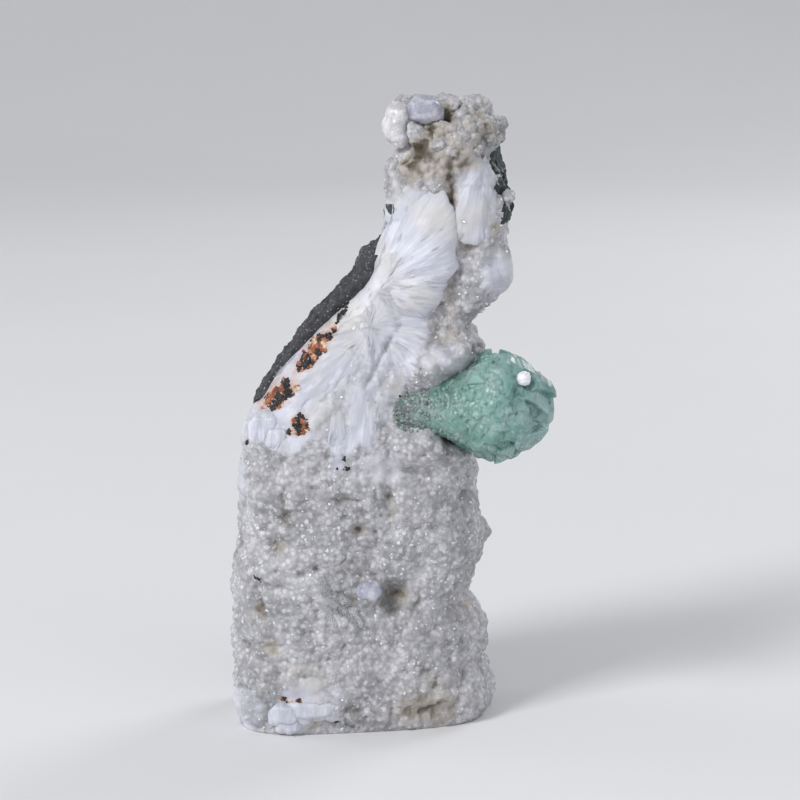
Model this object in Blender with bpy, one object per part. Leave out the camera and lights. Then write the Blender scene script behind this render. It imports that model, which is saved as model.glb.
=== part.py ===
"""Green apophyllite specimen: a barrel of green crystals on a tall piece of white, druzy rock.

Shapes are worked out in millimetres and become metres when their meshes are made. The front of
the specimen faces -Y, and it stands on its flat foot at z = 0.
"""

import math

import bmesh
import bpy
import numpy as np
from mathutils import Matrix, Vector

MM = 0.001
GAP = 0.3  # left between two solids that touch
NAME = "green_apophyllite_specimen"

# Outlines of the white rock, as (height, x) seen from the front and (height, y) seen from the side
LEFT_EDGE = (
    (0, -38.2), (5, -39.4), (20, -40.0), (34, -39.6), (43, -39.3), (49, -38.5), (62, -38.0),
    (75, -36.6), (79, -34.4), (88, -29.8), (92, -26.6), (100, -19.0), (108.5, -10.6), (113, -7.8),
    (117.5, -6.8), (123, -2.4), (128, -1.4), (138, -1.0), (143.5, 0.8), (149, -1.5), (153, -0.8),
    (156, 2.5), (158, 9.0),
)  # fmt: skip
RIGHT_EDGE = (
    (0, 23.6), (5, 25.4), (9.5, 25.4), (13.5, 22.5), (19.5, 24.3), (26, 22.3), (32, 19.5),
    (37, 21.0), (43, 22.2), (48, 23.2), (52, 22.0), (61, 21.7), (69, 20.8), (75, 21.0), (92, 23.2),
    (96, 22.3), (100, 20.7), (104, 24.0), (109, 27.2), (114.5, 29.2), (117, 28.7), (124, 29.0),
    (131, 30.2), (137, 28.1), (143, 26.7), (149.5, 27.6), (153, 25.3), (156, 21.5), (158, 15.0),
)  # fmt: skip
FRONT_FACE = (
    (0, -20.0), (6, -22.0), (60, -22.0), (70, -21.5), (85, -19.0), (100, -17.0), (125, -14.2),
    (148, -14.0), (153, -11.5), (156, -8.0), (158, -3.0),
)  # fmt: skip
BACK_FACE = (
    (0, 23.0), (8, 25.5), (30, 25.5), (60, 23.0), (80, 20.5), (100, 18.0), (130, 14.5),
    (148, 14.5), (153, 12.0), (156, 8.5), (158, 4.0),
)  # fmt: skip
SQUARENESS = ((0, 3.4), (20, 3.0), (70, 3.2), (95, 3.6), (118, 3.0), (140, 2.4), (158, 2.0))
FRONT_TURN = 0.17  # how far the front face recedes towards the right, at the foot
TOP = 158.0
ROWS_TO = 150.0  # evenly spaced rows up to here, closer ones in the round top
ROUND_TOP = (151.6, 153.6, 155.3, 156.7, 157.6)
ROWS = 28
AROUND = 44
FRONT_SHARE = 0.3  # how much closer the columns stand at the front than on average

# Lumps of the druse, as cell size, height and seed, and how the silky upper front differs
LUMPS = ((9.5, 2.1, 11), (5.2, 0.9, 23))
SILK_SHARE = 0.25  # how much of the lumps' height is left there
SILK_FROM, SILK_TO = 71.0, 136.0
SILK_EDGE = ((70, -6), (85, 1), (92, 7), (105, 10), (118, 15), (127, 15), (136, 6))
SILK_SIDE = 2.0  # it ends at this y
FLAT_FOOT = 3.0  # below this height the relief fades out, so that the foot is flat

# Hollows in the front face: x, height, half-width, half-height, depth
HOLLOW_SIDE = -4.0  # they fade out behind this y
HOLLOWS = {
    "deep_pit": (1.5, 34.0, 3.4, 3.8, 5.5),
    "left_slit": (-33.2, 32.5, 1.6, 4.5, 3.0),
    "left_pit": (-28.2, 47.3, 2.2, 2.0, 2.2),
    "upper_pit": (-11.5, 58.7, 2.0, 2.0, 2.2),
    "middle_pit": (-7.5, 51.8, 2.0, 1.6, 2.0),
    "long_crease": (8.0, 65.4, 9.0, 1.7, 2.0),
    "pit_row": (0.2, 60.5, 1.8, 4.0, 1.8),
    "low_left_pit": (-29.5, 22.1, 2.2, 1.8, 2.2),
    "foot_crevice": (9.8, 4.6, 4.5, 1.9, 2.6),
    "under_cluster": (16.5, 73.8, 3.4, 2.6, 4.0),
    "top_crevice": (14.2, 153.5, 2.0, 2.6, 3.0),
    "top_cavity": (9.8, 149.5, 2.4, 2.0, 2.6),
    "side_cavity": (6.5, 143.2, 1.9, 1.9, 2.0),
    "brown_groove": (14.8, 132.5, 1.6, 6.5, 2.0),
    "low_groove": (19.2, 120.5, 2.8, 1.6, 1.8),
}
# Lumps that stand out on their own: x, y, height, radius, how far they stand out
KNOBS = {
    "edge_knob": (23.6, 1.0, 47.2, 2.6, 2.2),
    "edge_lump": (21.6, 1.0, 41.5, 3.2, 1.4),
    "foot_ledge": (25.0, 2.0, 8.5, 4.0, 1.2),
    "round_lump": (-16.0, -22.0, 48.5, 2.6, 1.6),
    "shoulder": (16.5, -17.5, 97.0, 6.5, 2.8),
    "right_lobe": (27.5, -6.0, 113.0, 6.0, 2.0),
    "lip": (12.0, -20.5, 70.0, 5.0, 2.2),
    "foot_block": (-34.0, -17.0, 9.0, 6.0, 1.2),
}

# Small quartz crystals fused to the druse: how many places are tried, spread over rows, and sizes
QUARTZ_COUNT = 32
QUARTZ_ROWS = 11
QUARTZ_SPAN = (7.0, 152.0)  # heights between which they stand
GOLDEN_SHARE = 0.618  # of a whole turn, from one place to the next
QUARTZ_WIDTH = (2.6, 4.2)
QUARTZ_LENGTH = (1.3, 2.4)  # how far a point stands out
QUARTZ_ROOT = 3.0  # how deep it goes into the rock

# Round druse balls at the top: x, y, height, radius
TOP_BALLS = (
    (15.0, -6.0, 156.0, 1.7), (22.8, -3.0, 154.6, 1.9), (26.5, -3.5, 149.6, 2.1),
    (18.8, 2.0, 156.2, 1.9), (20.5, -10.0, 149.8, 2.3), (11.5, -12.5, 146.0, 2.6),
    (28.6, -6.5, 132.0, 1.9),
)  # fmt: skip

# Where the dark rock comes to the surface
BASALT_DEPTH = 7.0
BOUNDARY_WAVE = 4.0  # how much the boundary wanders in y
SLANT_FRONT = -11.5  # y of the dark rock's front edge on the slanting left side
SLANT_SPAN = (78.0, 130.0)  # heights between which it is bare there
SHOULDER_FRONT = -2.5  # the same on the right shoulder
SHOULDER_SPAN = (122.0, 147.0)
PAST_BACK = 5.0  # the boundary passes this far behind the back, where the druse covers all
RAGGED = 6.0  # how much the edge of the druse wanders over the back
COVERED_FOOT = 5.0  # height up to which druse covers the back
COVERED_LEFT = (10.0, 72.0)  # its width along the left edge, and up to what height
COVERED_RIGHT = 14.0  # its width along the right edge
COVERED_NECK = (5.0, 124.0)  # its width along the neck's left edge, and from what height
COVERED_CROWN = 140.0  # height from which it covers all
BOUNDARY_STEP = 6.0
BOUNDARY_GAP = 0.5  # measured along y, so that it stays near GAP where the boundary slopes

# Silky patches on the front: centre (x, height), outline as (degrees, reach), swell, sink, ribs
PATCHES = {
    "stilbite_fan_main": (
        (-4.0, 111.0),
        ((-58, 9), (-28, 15), (0, 17.5), (15, 21), (32, 24), (55, 28), (67, 24), (77, 15), (90, 7)),
        3.4, 3.0, 9,
    ),
    "stilbite_fan_right": (
        (23.0, 142.4),
        ((-124, 9), (-116, 17), (-108, 21), (-98, 21.5), (-88, 20), (-80, 15), (-73, 8)),
        2.4, 2.2, 4,
    ),
    "stilbite_sheaf_middle": (
        (-5.0, 90.2),
        ((76, 4), (86, 11), (97, 13), (108, 11), (118, 4)),
        2.0, 1.8, 3,
    ),
    "stilbite_curtain_left": (
        (-12.8, 91.0),
        ((-103, 10), (-97, 19), (-90, 20.5), (-83, 19), (-77, 10)),
        1.7, 1.8, 3,
    ),
    "stilbite_blades_left": (
        (-28.6, 71.0),
        ((48, 4.5), (68, 9.6), (90, 10.0), (110, 9.2), (132, 4)),
        2.4, 2.0, 4,
    ),
    "stilbite_blades_foot": (
        (-23.0, 11.5),
        ((-155, 5), (-126, 9.5), (-104, 10.8), (-80, 10.6), (-54, 9.5), (-25, 8)),
        3.8, 2.2, 5,
    ),
}  # fmt: skip
PATCH_RINGS = (0.0, 0.3, 0.58, 0.82, 1.0)
PATCH_OUT = 0.2  # how far a patch's rim stands in front of the smooth rock
POCKET_BACK = 4.0  # how many gaps a pocket's centre lies behind its patch's centre

# The green cluster: square prisms that fan out from one root
ROOT = Vector((3.6, -17.0, 80.8))
AXIS_BACK = 0.16  # how far the cluster leans back for each unit to the right
CRYSTAL_REACH = 38.6
REACH_LOSS = 0.0145  # millimetres lost per square degree off the axis
CRYSTAL_WIDTH = 7.0
SMALL_CRYSTALS = 16
SMALL_WIDTH = (3.0, 4.6)
GOLDEN_TURN = 2.4  # radians between one small crystal and the next
CRYSTAL_START = 0.36  # share of its reach at which a crystal leaves the stem
STEM = (4.2, 8.4, 21.0)  # radius at the root and at the far end, and length
FAN_ROWS = 7
ROW_STEP = 9.4  # degrees between rows
COLUMN_STEP = 21.0  # degrees between the crystals of a row
WIDEST = 33.5  # degrees, past which no crystal grows
BALL_RADIUS = 1.8
BALL_PLACE = (32.0, 89.0)  # x and height on the cluster's upper front

# Glassy blades that cross each other on the lower front, as (lean in degrees, length, width)
BLADES = ((-64, 11.5, 4.2), (-48, 13.0, 3.6), (-78, 9.5, 3.4))
BLADES_AT = (-12.6, 32.6)  # x and height
DOME_AT = (-5.4, 36.4)
DOME_RADIUS = 3.0

# Smooth crystal and smooth lobe at the top
LAVENDER_FOOT = (8.6, -3.4, 149.0)
LAVENDER_SIZE = (7.6, 8.9, 2.4)  # width, length, and how much of the length is the point
LOBE_CENTRE = (1.2, -6.5, 150.2)
LOBE_RADIUS = 3.1
LOBE_STRETCH = (0.85, 1.0, 1.55)

# Colour and roughness of each kind of mineral
GREEN = ((0.28, 0.52, 0.42), 0.2)
SILK = ((0.86, 0.87, 0.88), 0.4)
GLASSY = ((0.74, 0.75, 0.8), 0.15)
LAVENDER = ((0.55, 0.55, 0.68), 0.15)
PALE = ((0.78, 0.76, 0.76), 0.3)


# Repeatable noise


def scatter(cells, seed):
    """One repeatable number from 0 to 1 for each row of whole numbers."""
    n = cells.astype(np.int64)
    mixed = n[..., 0] * 73856093 ^ n[..., 1] * 19349663 ^ n[..., 2] * 83492791 ^ seed * 26544357
    mixed = ((mixed ^ (mixed >> 13)) & 0x7FFFFFFF) * 12741261
    mixed = mixed ^ (mixed >> 16)
    return (mixed & 0xFFFFFF) / 0xFFFFFF


def nearest_seed(points, size, seed):
    """Distance, in cells, from each point to the nearest of the jittered seeds of a lattice."""
    scaled = points / size
    home = np.floor(scaled)
    best = np.full(points.shape[:-1], 9.0)
    for dx in (-1, 0, 1):
        for dy in (-1, 0, 1):
            for dz in (-1, 0, 1):
                cell = home + (dx, dy, dz)
                jitter = np.stack([scatter(cell, seed + k) for k in range(3)], -1)
                offset = cell + 0.15 + 0.7 * jitter - scaled
                best = np.minimum(best, np.sqrt((offset**2).sum(-1)))
    return best


def rounded(points, size, seed):
    """Round lumps from -0.8 in the clefts to 0.2 on the crowns, one for each cell."""
    return np.clip(1.0 - (nearest_seed(points, size, seed) / 0.85) ** 2, 0, 1) - 0.8


def smooth(value):
    """Rises from 0 to 1 with level ends as the value goes from 0 to 1."""
    t = np.clip(value, 0.0, 1.0)
    return t * t * (3.0 - 2.0 * t)


def along(points, height):
    """Smooth curve through (height, value) points that never swings past them."""
    knots = np.array([p[0] for p in points], float)
    values = np.array([p[1] for p in points], float)
    rise = np.diff(values) / np.diff(knots)
    before, after = rise[:-1], rise[1:]
    same_way = before * after > 0
    mean = np.where(same_way, 2 * before * after / np.where(same_way, before + after, 1.0), 0.0)
    slopes = np.concatenate([rise[:1], mean, rise[-1:]])
    h = np.clip(height, knots[0], knots[-1])
    i = np.clip(np.searchsorted(knots, h) - 1, 0, len(knots) - 2)
    span = knots[i + 1] - knots[i]
    t = (h - knots[i]) / span
    start = (1 + 2 * t) * (1 - t) ** 2 * values[i] + t * (1 - t) ** 2 * span * slopes[i]
    end = t * t * (3 - 2 * t) * values[i + 1] + t * t * (t - 1) * span * slopes[i + 1]
    return start + end


# The rock's form


def section(height):
    """Middle and half-size in x and y, squareness and turn of the rock's outline at a height."""
    left, right = along(LEFT_EDGE, height), along(RIGHT_EDGE, height)
    front, back = along(FRONT_FACE, height), along(BACK_FACE, height)
    turn = FRONT_TURN * (1.0 - 0.6 * height / TOP)
    middle = (left + right) / 2, (front + back) / 2
    half = (right - left) / 2, (back - front) / 2
    return middle, half, along(SQUARENESS, height), turn


def rock_point(angle, height):
    """Point of the smooth rock: a rounded rectangle at each height, its front turned a little."""
    (mid_x, mid_y), (half_x, half_y), power, turn = section(height)
    c, s = np.cos(angle), np.sin(angle)
    reach = (np.abs(c) ** power + np.abs(s) ** power) ** (-1.0 / power)
    across, deep = reach * c, reach * s
    x = mid_x + half_x * across
    y = mid_y + half_y * deep + turn * half_x * across * (1 - deep) / 2
    return np.stack([x, y, height + 0.0 * x], -1)


def front_y(x, height):
    """The y of the smooth rock's front face at an x and a height."""
    (mid_x, mid_y), (half_x, half_y), power, turn = section(height)
    across = np.clip((x - mid_x) / half_x, -0.9, 0.95)
    deep = -((1.0 - np.abs(across) ** power) ** (1.0 / power))
    return mid_y + half_y * deep + turn * half_x * across * (1 - deep) / 2


def silkiness(points):
    """1 on the silky upper front, 0 on the sugary druse."""
    x, y, z = points[..., 0], points[..., 1], points[..., 2]
    inside = smooth((along(SILK_EDGE, z) - x) / 3.0 + 0.5)
    inside = inside * smooth((z - SILK_FROM) / 4.0 + 0.5) * smooth((SILK_TO - z) / 5.0 + 0.5)
    return inside * smooth((SILK_SIDE - y) / 6.0)


def boundary_y(x, height):
    """The y where white rock meets dark rock; past the back face the druse covers all."""
    left, right = along(LEFT_EDGE, height), along(RIGHT_EDGE, height)
    wavy = np.stack([x, 0.0 * x, height + 0.0 * x], -1)
    y = BASALT_DEPTH + BOUNDARY_WAVE * rounded(wavy, 15.0, 71)
    low, high = SLANT_SPAN
    slant = smooth((left + 10.0 - x) / 8.0) * smooth((height - low) / 5.0) * smooth((high - height) / 6.0)
    y = y + (SLANT_FRONT - y) * slant
    low, high = SHOULDER_SPAN
    shoulder = smooth((x - right + 8.0) / 6.0) * smooth((height - low) / 4.0) * smooth((high - height) / 4.0)
    y = y + (SHOULDER_FRONT - y) * shoulder
    ragged_x = x + RAGGED * rounded(wavy, 13.0, 81)
    ragged_z = height + RAGGED * rounded(wavy, 17.0, 85)
    foot = 1.0 - smooth((ragged_z - COVERED_FOOT) / 14.0)
    width, low = COVERED_LEFT
    block_left = smooth((left + width - ragged_x) / 9.0) * (1.0 - smooth((height - low) / 8.0))
    edge_right = smooth((ragged_x - right + COVERED_RIGHT) / 8.0) * (1.0 - shoulder)
    width, low = COVERED_NECK
    neck_left = smooth((left + width - ragged_x) / 8.0) * smooth((height - low) / 8.0)
    crown = smooth((ragged_z - COVERED_CROWN) / 8.0)
    covered = np.max([foot, block_left, edge_right, neck_left, crown], axis=0)
    return y + (along(BACK_FACE, height) + PAST_BACK - y) * covered


def relief(points):
    """How far the real surface stands out from the smooth rock, in millimetres."""
    x, y, z = points[..., 0], points[..., 1], points[..., 2]
    dark = smooth((y - boundary_y(x, z)) / 2.0 + 0.5)
    strength = (1.0 - (1.0 - SILK_SHARE) * silkiness(points)) * (1.0 - 0.5 * dark)
    out = sum(height * rounded(points, size, seed) for size, height, seed in LUMPS) * strength
    facing = smooth((HOLLOW_SIDE - y) / 5.0)
    for hx, hz, wide, tall, depth in HOLLOWS.values():
        fall = np.exp(-(((x - hx) / wide) ** 2) - ((z - hz) / tall) ** 2)
        out = out - depth * fall * facing
    for kx, ky, kz, radius, height in KNOBS.values():
        away = (x - kx) ** 2 + (y - ky) ** 2 + (z - kz) ** 2
        out = out + height * np.exp(-away / radius**2)
    return out * smooth(z / FLAT_FOOT)


def outward(grid):
    """Unit normals of a grid that closes on itself in its second direction."""
    up = np.gradient(grid, axis=0)
    along_ring = np.roll(grid, -1, 1) - np.roll(grid, 1, 1)
    normal = np.cross(along_ring, up)
    return normal / np.linalg.norm(normal, axis=-1, keepdims=True)


# Building blocks


def in_collection(name):
    group = bpy.data.collections.new(name)
    bpy.context.scene.collection.children.link(group)
    return group


def add_object(name, mesh, group, colour, roughness):
    """Puts a mesh in the scene as a named object with a material of its own."""
    obj = bpy.data.objects.new(name, mesh)
    group.objects.link(obj)
    material = bpy.data.materials.new(name)
    material.use_nodes = True
    shader = material.node_tree.nodes["Principled BSDF"]
    shader.inputs["Base Color"].default_value = (*colour, 1.0)
    shader.inputs["Roughness"].default_value = roughness
    shader.inputs["Metallic"].default_value = 0.0
    mesh.materials.append(material)
    return obj


def as_cutter(obj):
    obj.hide_render = True
    obj.display_type = "WIRE"
    return obj


def mesh_from(name, points, faces):
    """A mesh of triangles in metres from points in millimetres."""
    mesh = bpy.data.meshes.new(name)
    mesh.from_pydata([tuple(p * MM) for p in np.asarray(points, float)], [], faces)
    bm = bmesh.new()
    bm.from_mesh(mesh)
    bmesh.ops.triangulate(bm, faces=bm.faces)
    bm.to_mesh(mesh)
    bm.free()
    return mesh


def mesh_from_bmesh(name, bm):
    """A mesh in metres from a bmesh in millimetres, which is freed."""
    bmesh.ops.scale(bm, vec=(MM, MM, MM), verts=bm.verts)
    bmesh.ops.recalc_face_normals(bm, faces=bm.faces)
    mesh = bpy.data.meshes.new(name)
    bm.to_mesh(mesh)
    bm.free()
    return mesh


def boolean(obj, operation, other):
    """Adds a Boolean with an object, or with every object of a collection."""
    modifier = obj.modifiers.new(operation.lower(), "BOOLEAN")
    modifier.operation = operation
    modifier.solver = "EXACT"
    if isinstance(other, bpy.types.Collection):
        modifier.operand_type = "COLLECTION"
        modifier.collection = other
    else:
        modifier.object = other


def settle(obj):
    """Applies an object's modifiers and keeps its largest body, without loose crumbs."""
    graph = bpy.context.evaluated_depsgraph_get()
    graph.update()
    mesh = bpy.data.meshes.new_from_object(obj.evaluated_get(graph))
    bm = bmesh.new()
    bm.from_mesh(mesh)
    bodies = []
    left = set(bm.verts)
    while left:
        stack, body = [left.pop()], []
        while stack:
            vert = stack.pop()
            body.append(vert)
            for edge in vert.link_edges:
                other = edge.other_vert(vert)
                if other in left:
                    left.remove(other)
                    stack.append(other)
        bodies.append(body)
    bodies.sort(key=len, reverse=True)
    for body in bodies[1:]:
        bmesh.ops.delete(bm, geom=body, context="VERTS")
    bmesh.ops.triangulate(bm, faces=bm.faces)
    bm.to_mesh(mesh)
    bm.free()
    obj.modifiers.clear()
    obj.data = mesh
    return obj


def pointed_crystal(base, direction, width, length, tip, sides, roll):
    """A prism with a pyramid on its end, as a bmesh in millimetres."""
    bm = bmesh.new()
    radius = width / 2 / math.cos(math.pi / sides)
    bmesh.ops.create_cone(
        bm, cap_ends=True, segments=sides, radius1=radius, radius2=radius, depth=length - tip
    )
    bmesh.ops.translate(bm, verts=bm.verts, vec=(0, 0, (length - tip) / 2))
    end = max(bm.faces, key=lambda face: face.calc_center_median().z)
    bmesh.ops.poke(bm, faces=[end], offset=tip)
    turn = Vector(direction).to_track_quat("Z", "Y").to_matrix().to_4x4()
    place = Matrix.Translation(base) @ turn @ Matrix.Rotation(roll, 4, "Z")
    bmesh.ops.transform(bm, matrix=place, verts=bm.verts)
    return bm


def ball(centre, radius, stretch=(1, 1, 1), detail=2):
    """A faceted ball or a lobe, as a bmesh in millimetres."""
    bm = bmesh.new()
    bmesh.ops.create_icosphere(bm, subdivisions=detail, radius=radius)
    bmesh.ops.scale(bm, vec=stretch, verts=bm.verts)
    bmesh.ops.translate(bm, verts=bm.verts, vec=centre)
    return bm


def hidden(name, bm, group):
    """An object that is only joined to another or cut from it."""
    obj = bpy.data.objects.new(name, mesh_from_bmesh(name, bm))
    group.objects.link(obj)
    return as_cutter(obj)


def fused(name, pieces, group, look):
    """Several closed shapes joined in one solid, from bmeshes in millimetres."""
    extras = in_collection(name + "_joined")
    whole = add_object(name, mesh_from_bmesh(name, pieces[0]), group, *look)
    for k, piece in enumerate(pieces[1:]):
        hidden(f"{name}_{k}", piece, extras)
    boolean(whole, "UNION", extras)
    return settle(whole)


# The rock


def rock_mesh():
    """The white rock's outer surface as a loft: rings of points from the flat foot to the top."""
    heights = np.concatenate([np.linspace(0.0, ROWS_TO, ROWS), ROUND_TOP])
    turns = np.linspace(0.0, 2 * np.pi, AROUND, endpoint=False)
    angles = turns - FRONT_SHARE * np.cos(turns)
    grid = rock_point(angles[None, :], heights[:, None])
    grid = grid + outward(grid) * relief(grid)[..., None]
    grid[0, :, 2] = 0.0
    pole = grid[-1].mean(0) + (0, 0, TOP - ROUND_TOP[-1])
    points = np.concatenate([grid.reshape(-1, 3), pole[None]])
    rings = len(heights)
    faces = [tuple(range(AROUND))[::-1]]
    for row in range(rings - 1):
        for k in range(AROUND):
            after = (k + 1) % AROUND
            faces.append(
                (row * AROUND + k, row * AROUND + after, (row + 1) * AROUND + after, (row + 1) * AROUND + k)
            )
    last = (rings - 1) * AROUND
    faces += [(last + k, last + (k + 1) % AROUND, len(points) - 1) for k in range(AROUND)]
    return mesh_from("rock", points, faces)


def boundary_slab(name, shift, group):
    """All that lies behind the wavy boundary of the dark rock, which is moved back by a shift."""
    xs = np.arange(-58.0, 58.1, BOUNDARY_STEP)
    zs = np.arange(-12.0, 172.1, BOUNDARY_STEP)
    x, z = np.meshgrid(xs, zs)
    wavy = np.stack([x, boundary_y(x, z) + shift, z], -1)
    far = wavy * (1, 0, 1) + (0, 90.0, 0)
    rows, columns = x.shape
    count = rows * columns
    faces = []
    for r in range(rows - 1):
        for c in range(columns - 1):
            a = r * columns + c
            for triangle in ((a, a + 1, a + columns + 1), (a, a + columns + 1, a + columns)):
                faces.append(triangle)
                faces.append(tuple(count + i for i in triangle[::-1]))
    rim = [c for c in range(columns)] + [r * columns + columns - 1 for r in range(1, rows)]
    rim += [(rows - 1) * columns + c for c in range(columns - 2, -1, -1)]
    rim += [r * columns for r in range(rows - 2, 0, -1)]
    for a, b in zip(rim, rim[1:] + rim[:1]):
        faces.append((b, a, count + a, count + b))
    points = np.concatenate([wavy.reshape(-1, 3), far.reshape(-1, 3)])
    obj = bpy.data.objects.new(name, mesh_from(name, points, faces))
    group.objects.link(obj)
    return as_cutter(obj)


def quartz_points(group):
    """Small six-sided crystals that stand on the druse all round the rock."""
    low, high = QUARTZ_SPAN
    for k in range(QUARTZ_COUNT):
        chance = [float(scatter(np.array([k, j, 5]), 91)) for j in range(6)]
        height = low + (k % QUARTZ_ROWS + chance[0]) * (high - low) / QUARTZ_ROWS
        angle = 2 * math.pi * (k * GOLDEN_SHARE + 0.15 * chance[1])
        base = rock_point(np.array(angle), np.array(height))
        ahead = rock_point(np.array(angle + 0.02), np.array(height)) - base
        over = rock_point(np.array(angle), np.array(height + 0.5)) - base
        normal = np.cross(ahead, over)
        normal = normal / np.linalg.norm(normal)
        bare = base[1] > boundary_y(base[0], base[2]) - 2.0
        if bare or silkiness(base) > 0.2:
            continue
        lean = normal + 0.5 * np.array([chance[2] - 0.5, chance[3] - 0.5, chance[4] - 0.3])
        width = QUARTZ_WIDTH[0] + (QUARTZ_WIDTH[1] - QUARTZ_WIDTH[0]) * chance[5]
        out = QUARTZ_LENGTH[0] + (QUARTZ_LENGTH[1] - QUARTZ_LENGTH[0]) * chance[2]
        start = Vector(base - QUARTZ_ROOT * normal)
        whole = QUARTZ_ROOT + out
        crystal = pointed_crystal(start, lean, width, whole, width * 0.7, 6, chance[3])
        hidden(f"quartz_point_{k}", crystal, group)


def top_balls(group):
    """Round druse balls on the top and along its edges."""
    for k, (x, y, z, radius) in enumerate(TOP_BALLS):
        hidden(f"druse_ball_{k}", ball((x, y, z), radius), group)


# Silky patches


def silk_patch(name, extra):
    """A lens of radiating fibres: top and underside meet all round its outline."""
    (cx, cz), outline, swell, sink, ribs = PATCHES[name]
    first, last = outline[0][0], outline[-1][0]
    columns = 2 * ribs + 1
    degrees = np.linspace(first, last, columns)
    middle = math.radians((first + last) / 2)
    back = POCKET_BACK * extra
    cx, cz = cx - back * math.cos(middle), cz - back * math.sin(middle)
    reach = along(outline, degrees) + back + 3.0 * extra
    swell, sink = swell + extra, sink + extra
    odd = np.arange(columns) % 2 == 1
    notch = np.where(odd | (extra > 0), 1.0, 0.95)
    rings = np.array(PATCH_RINGS)
    rho = rings[:, None] * (reach * notch)[None, :]
    x = cx + rho * np.cos(np.radians(degrees))
    z = cz + rho * np.sin(np.radians(degrees))
    across = np.sqrt(np.clip(np.sin(np.pi * (degrees - first) / (last - first)), 0, 1))
    lift = (rings * (1 - rings**3))[:, None] ** 0.5 * across[None, :]
    rib = np.where(odd | (extra > 0), 1.0, 0.8)
    rock = front_y(x, z)
    upper = np.stack([x, rock - PATCH_OUT - extra - swell * lift * rib, z], -1)
    under = np.stack([x, rock - PATCH_OUT + extra + sink * lift, z], -1)
    size = len(rings) * columns
    rim = [r * columns for r in range(len(rings))]
    rim += [size - columns + c for c in range(1, columns)]
    rim += [r * columns + columns - 1 for r in range(len(rings) - 2, -1, -1)]
    faces = [(a, b, size + b, size + a) for a, b in zip(rim, rim[1:])]
    for r in range(len(rings) - 1):
        for c in range(columns - 1):
            a = r * columns + c
            quad = (a, a + columns, a + columns + 1, a + 1)
            faces.append(quad)
            faces.append(tuple(size + i for i in quad[::-1]))
    bm = bmesh.new()
    verts = [bm.verts.new(p) for p in np.concatenate([upper.reshape(-1, 3), under.reshape(-1, 3)])]
    for face in faces:
        bm.faces.new([verts[i] for i in face])
    bmesh.ops.remove_doubles(bm, verts=bm.verts, dist=0.002)
    bmesh.ops.dissolve_degenerate(bm, dist=0.001, edges=bm.edges)
    bmesh.ops.triangulate(bm, faces=bm.faces)
    return bm


# The green cluster


def toward(rise, swing):
    """Unit direction in the fan: degrees up from the axis, and degrees to the back."""
    a, b = math.radians(rise), math.radians(swing)
    direction = Vector((math.cos(a) * math.cos(b), math.sin(b), math.sin(a) * math.cos(b)))
    direction.y += AXIS_BACK * direction.x
    return direction.normalized()


def cluster_directions():
    """Direction, reach, width and roll of each green crystal: rows of a fan, then small ones."""
    for row in range(FAN_ROWS):
        columns = 3 if row % 2 == 0 else 2
        for column in range(columns):
            chance = [float(scatter(np.array([row, column, j]), 37)) for j in range(4)]
            rise = (row - (FAN_ROWS - 1) / 2) * ROW_STEP + 0.8 + 3.0 * (chance[0] - 0.5)
            swing = (column - (columns - 1) / 2) * COLUMN_STEP + 4.0 * (chance[1] - 0.5)
            off = rise**2 + swing**2
            if off > WIDEST**2:
                continue
            length = CRYSTAL_REACH - REACH_LOSS * off - 2.2 * chance[2]
            yield toward(rise, swing), length, CRYSTAL_WIDTH, 0.3 * (chance[3] - 0.5)
    for k in range(SMALL_CRYSTALS):
        chance = [float(scatter(np.array([k, j, 3]), 53)) for j in range(5)]
        ring = WIDEST * math.sqrt((k + 0.5) / SMALL_CRYSTALS)
        around = k * GOLDEN_TURN + 0.5 * chance[0]
        rise, swing = ring * math.cos(around), ring * math.sin(around)
        length = CRYSTAL_REACH - REACH_LOSS * ring**2 - 1.0 - 4.0 * chance[1]
        width = SMALL_WIDTH[0] + (SMALL_WIDTH[1] - SMALL_WIDTH[0]) * chance[2]
        yield toward(rise, swing), length, width, 0.9 * (chance[3] - 0.5)


def cluster_stem(extra):
    """The flaring stem from which the crystals leave, as a bmesh."""
    near, far, length = STEM
    bm = bmesh.new()
    bmesh.ops.create_cone(
        bm, cap_ends=True, segments=10, radius1=near + extra, radius2=far + extra, depth=length + 2 * extra
    )
    axis = Vector((1.0, AXIS_BACK, 0.0)).normalized()
    turn = axis.to_track_quat("Z", "Y").to_matrix().to_4x4()
    place = Matrix.Translation(ROOT + axis * (length / 2 - 2.5)) @ turn
    bmesh.ops.transform(bm, matrix=place, verts=bm.verts)
    return bm


def cluster_shapes(extra):
    """The stem and the crystals of the green cluster, larger by extra on every side."""
    shapes = [cluster_stem(extra)]
    for direction, length, width, roll in cluster_directions():
        begin = CRYSTAL_START * length - extra
        whole = length - begin + 2 * extra
        start = ROOT + direction * begin
        shapes.append(pointed_crystal(start, direction, width + 2 * extra, whole, width / 2, 4, roll))
    return shapes


# Single pieces


def blade_shapes(extra):
    """Glassy blades that cross each other, with a smooth grey dome at their upper right end."""
    x, z = BLADES_AT
    y = float(front_y(x + 1.6, z - 0.6)) + 0.6
    shapes = []
    for k, (lean, length, width) in enumerate(BLADES):
        a = math.radians(lean)
        direction = Vector((math.cos(a), -0.16, math.sin(a)))
        middle = Vector((x + 1.1 * k, y - 0.5 * k, z + 0.5 * k))
        start = middle - direction * (length / 2 + extra)
        whole = length + 2 * extra
        shapes.append(pointed_crystal(start, direction, width + 2 * extra, whole, 1.2, 6, 0.3 * k))
    dome = (DOME_AT[0], y + 0.4, DOME_AT[1])
    shapes.append(ball(dome, DOME_RADIUS + extra, (1.0, 0.8, 1.0)))
    return shapes


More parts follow.
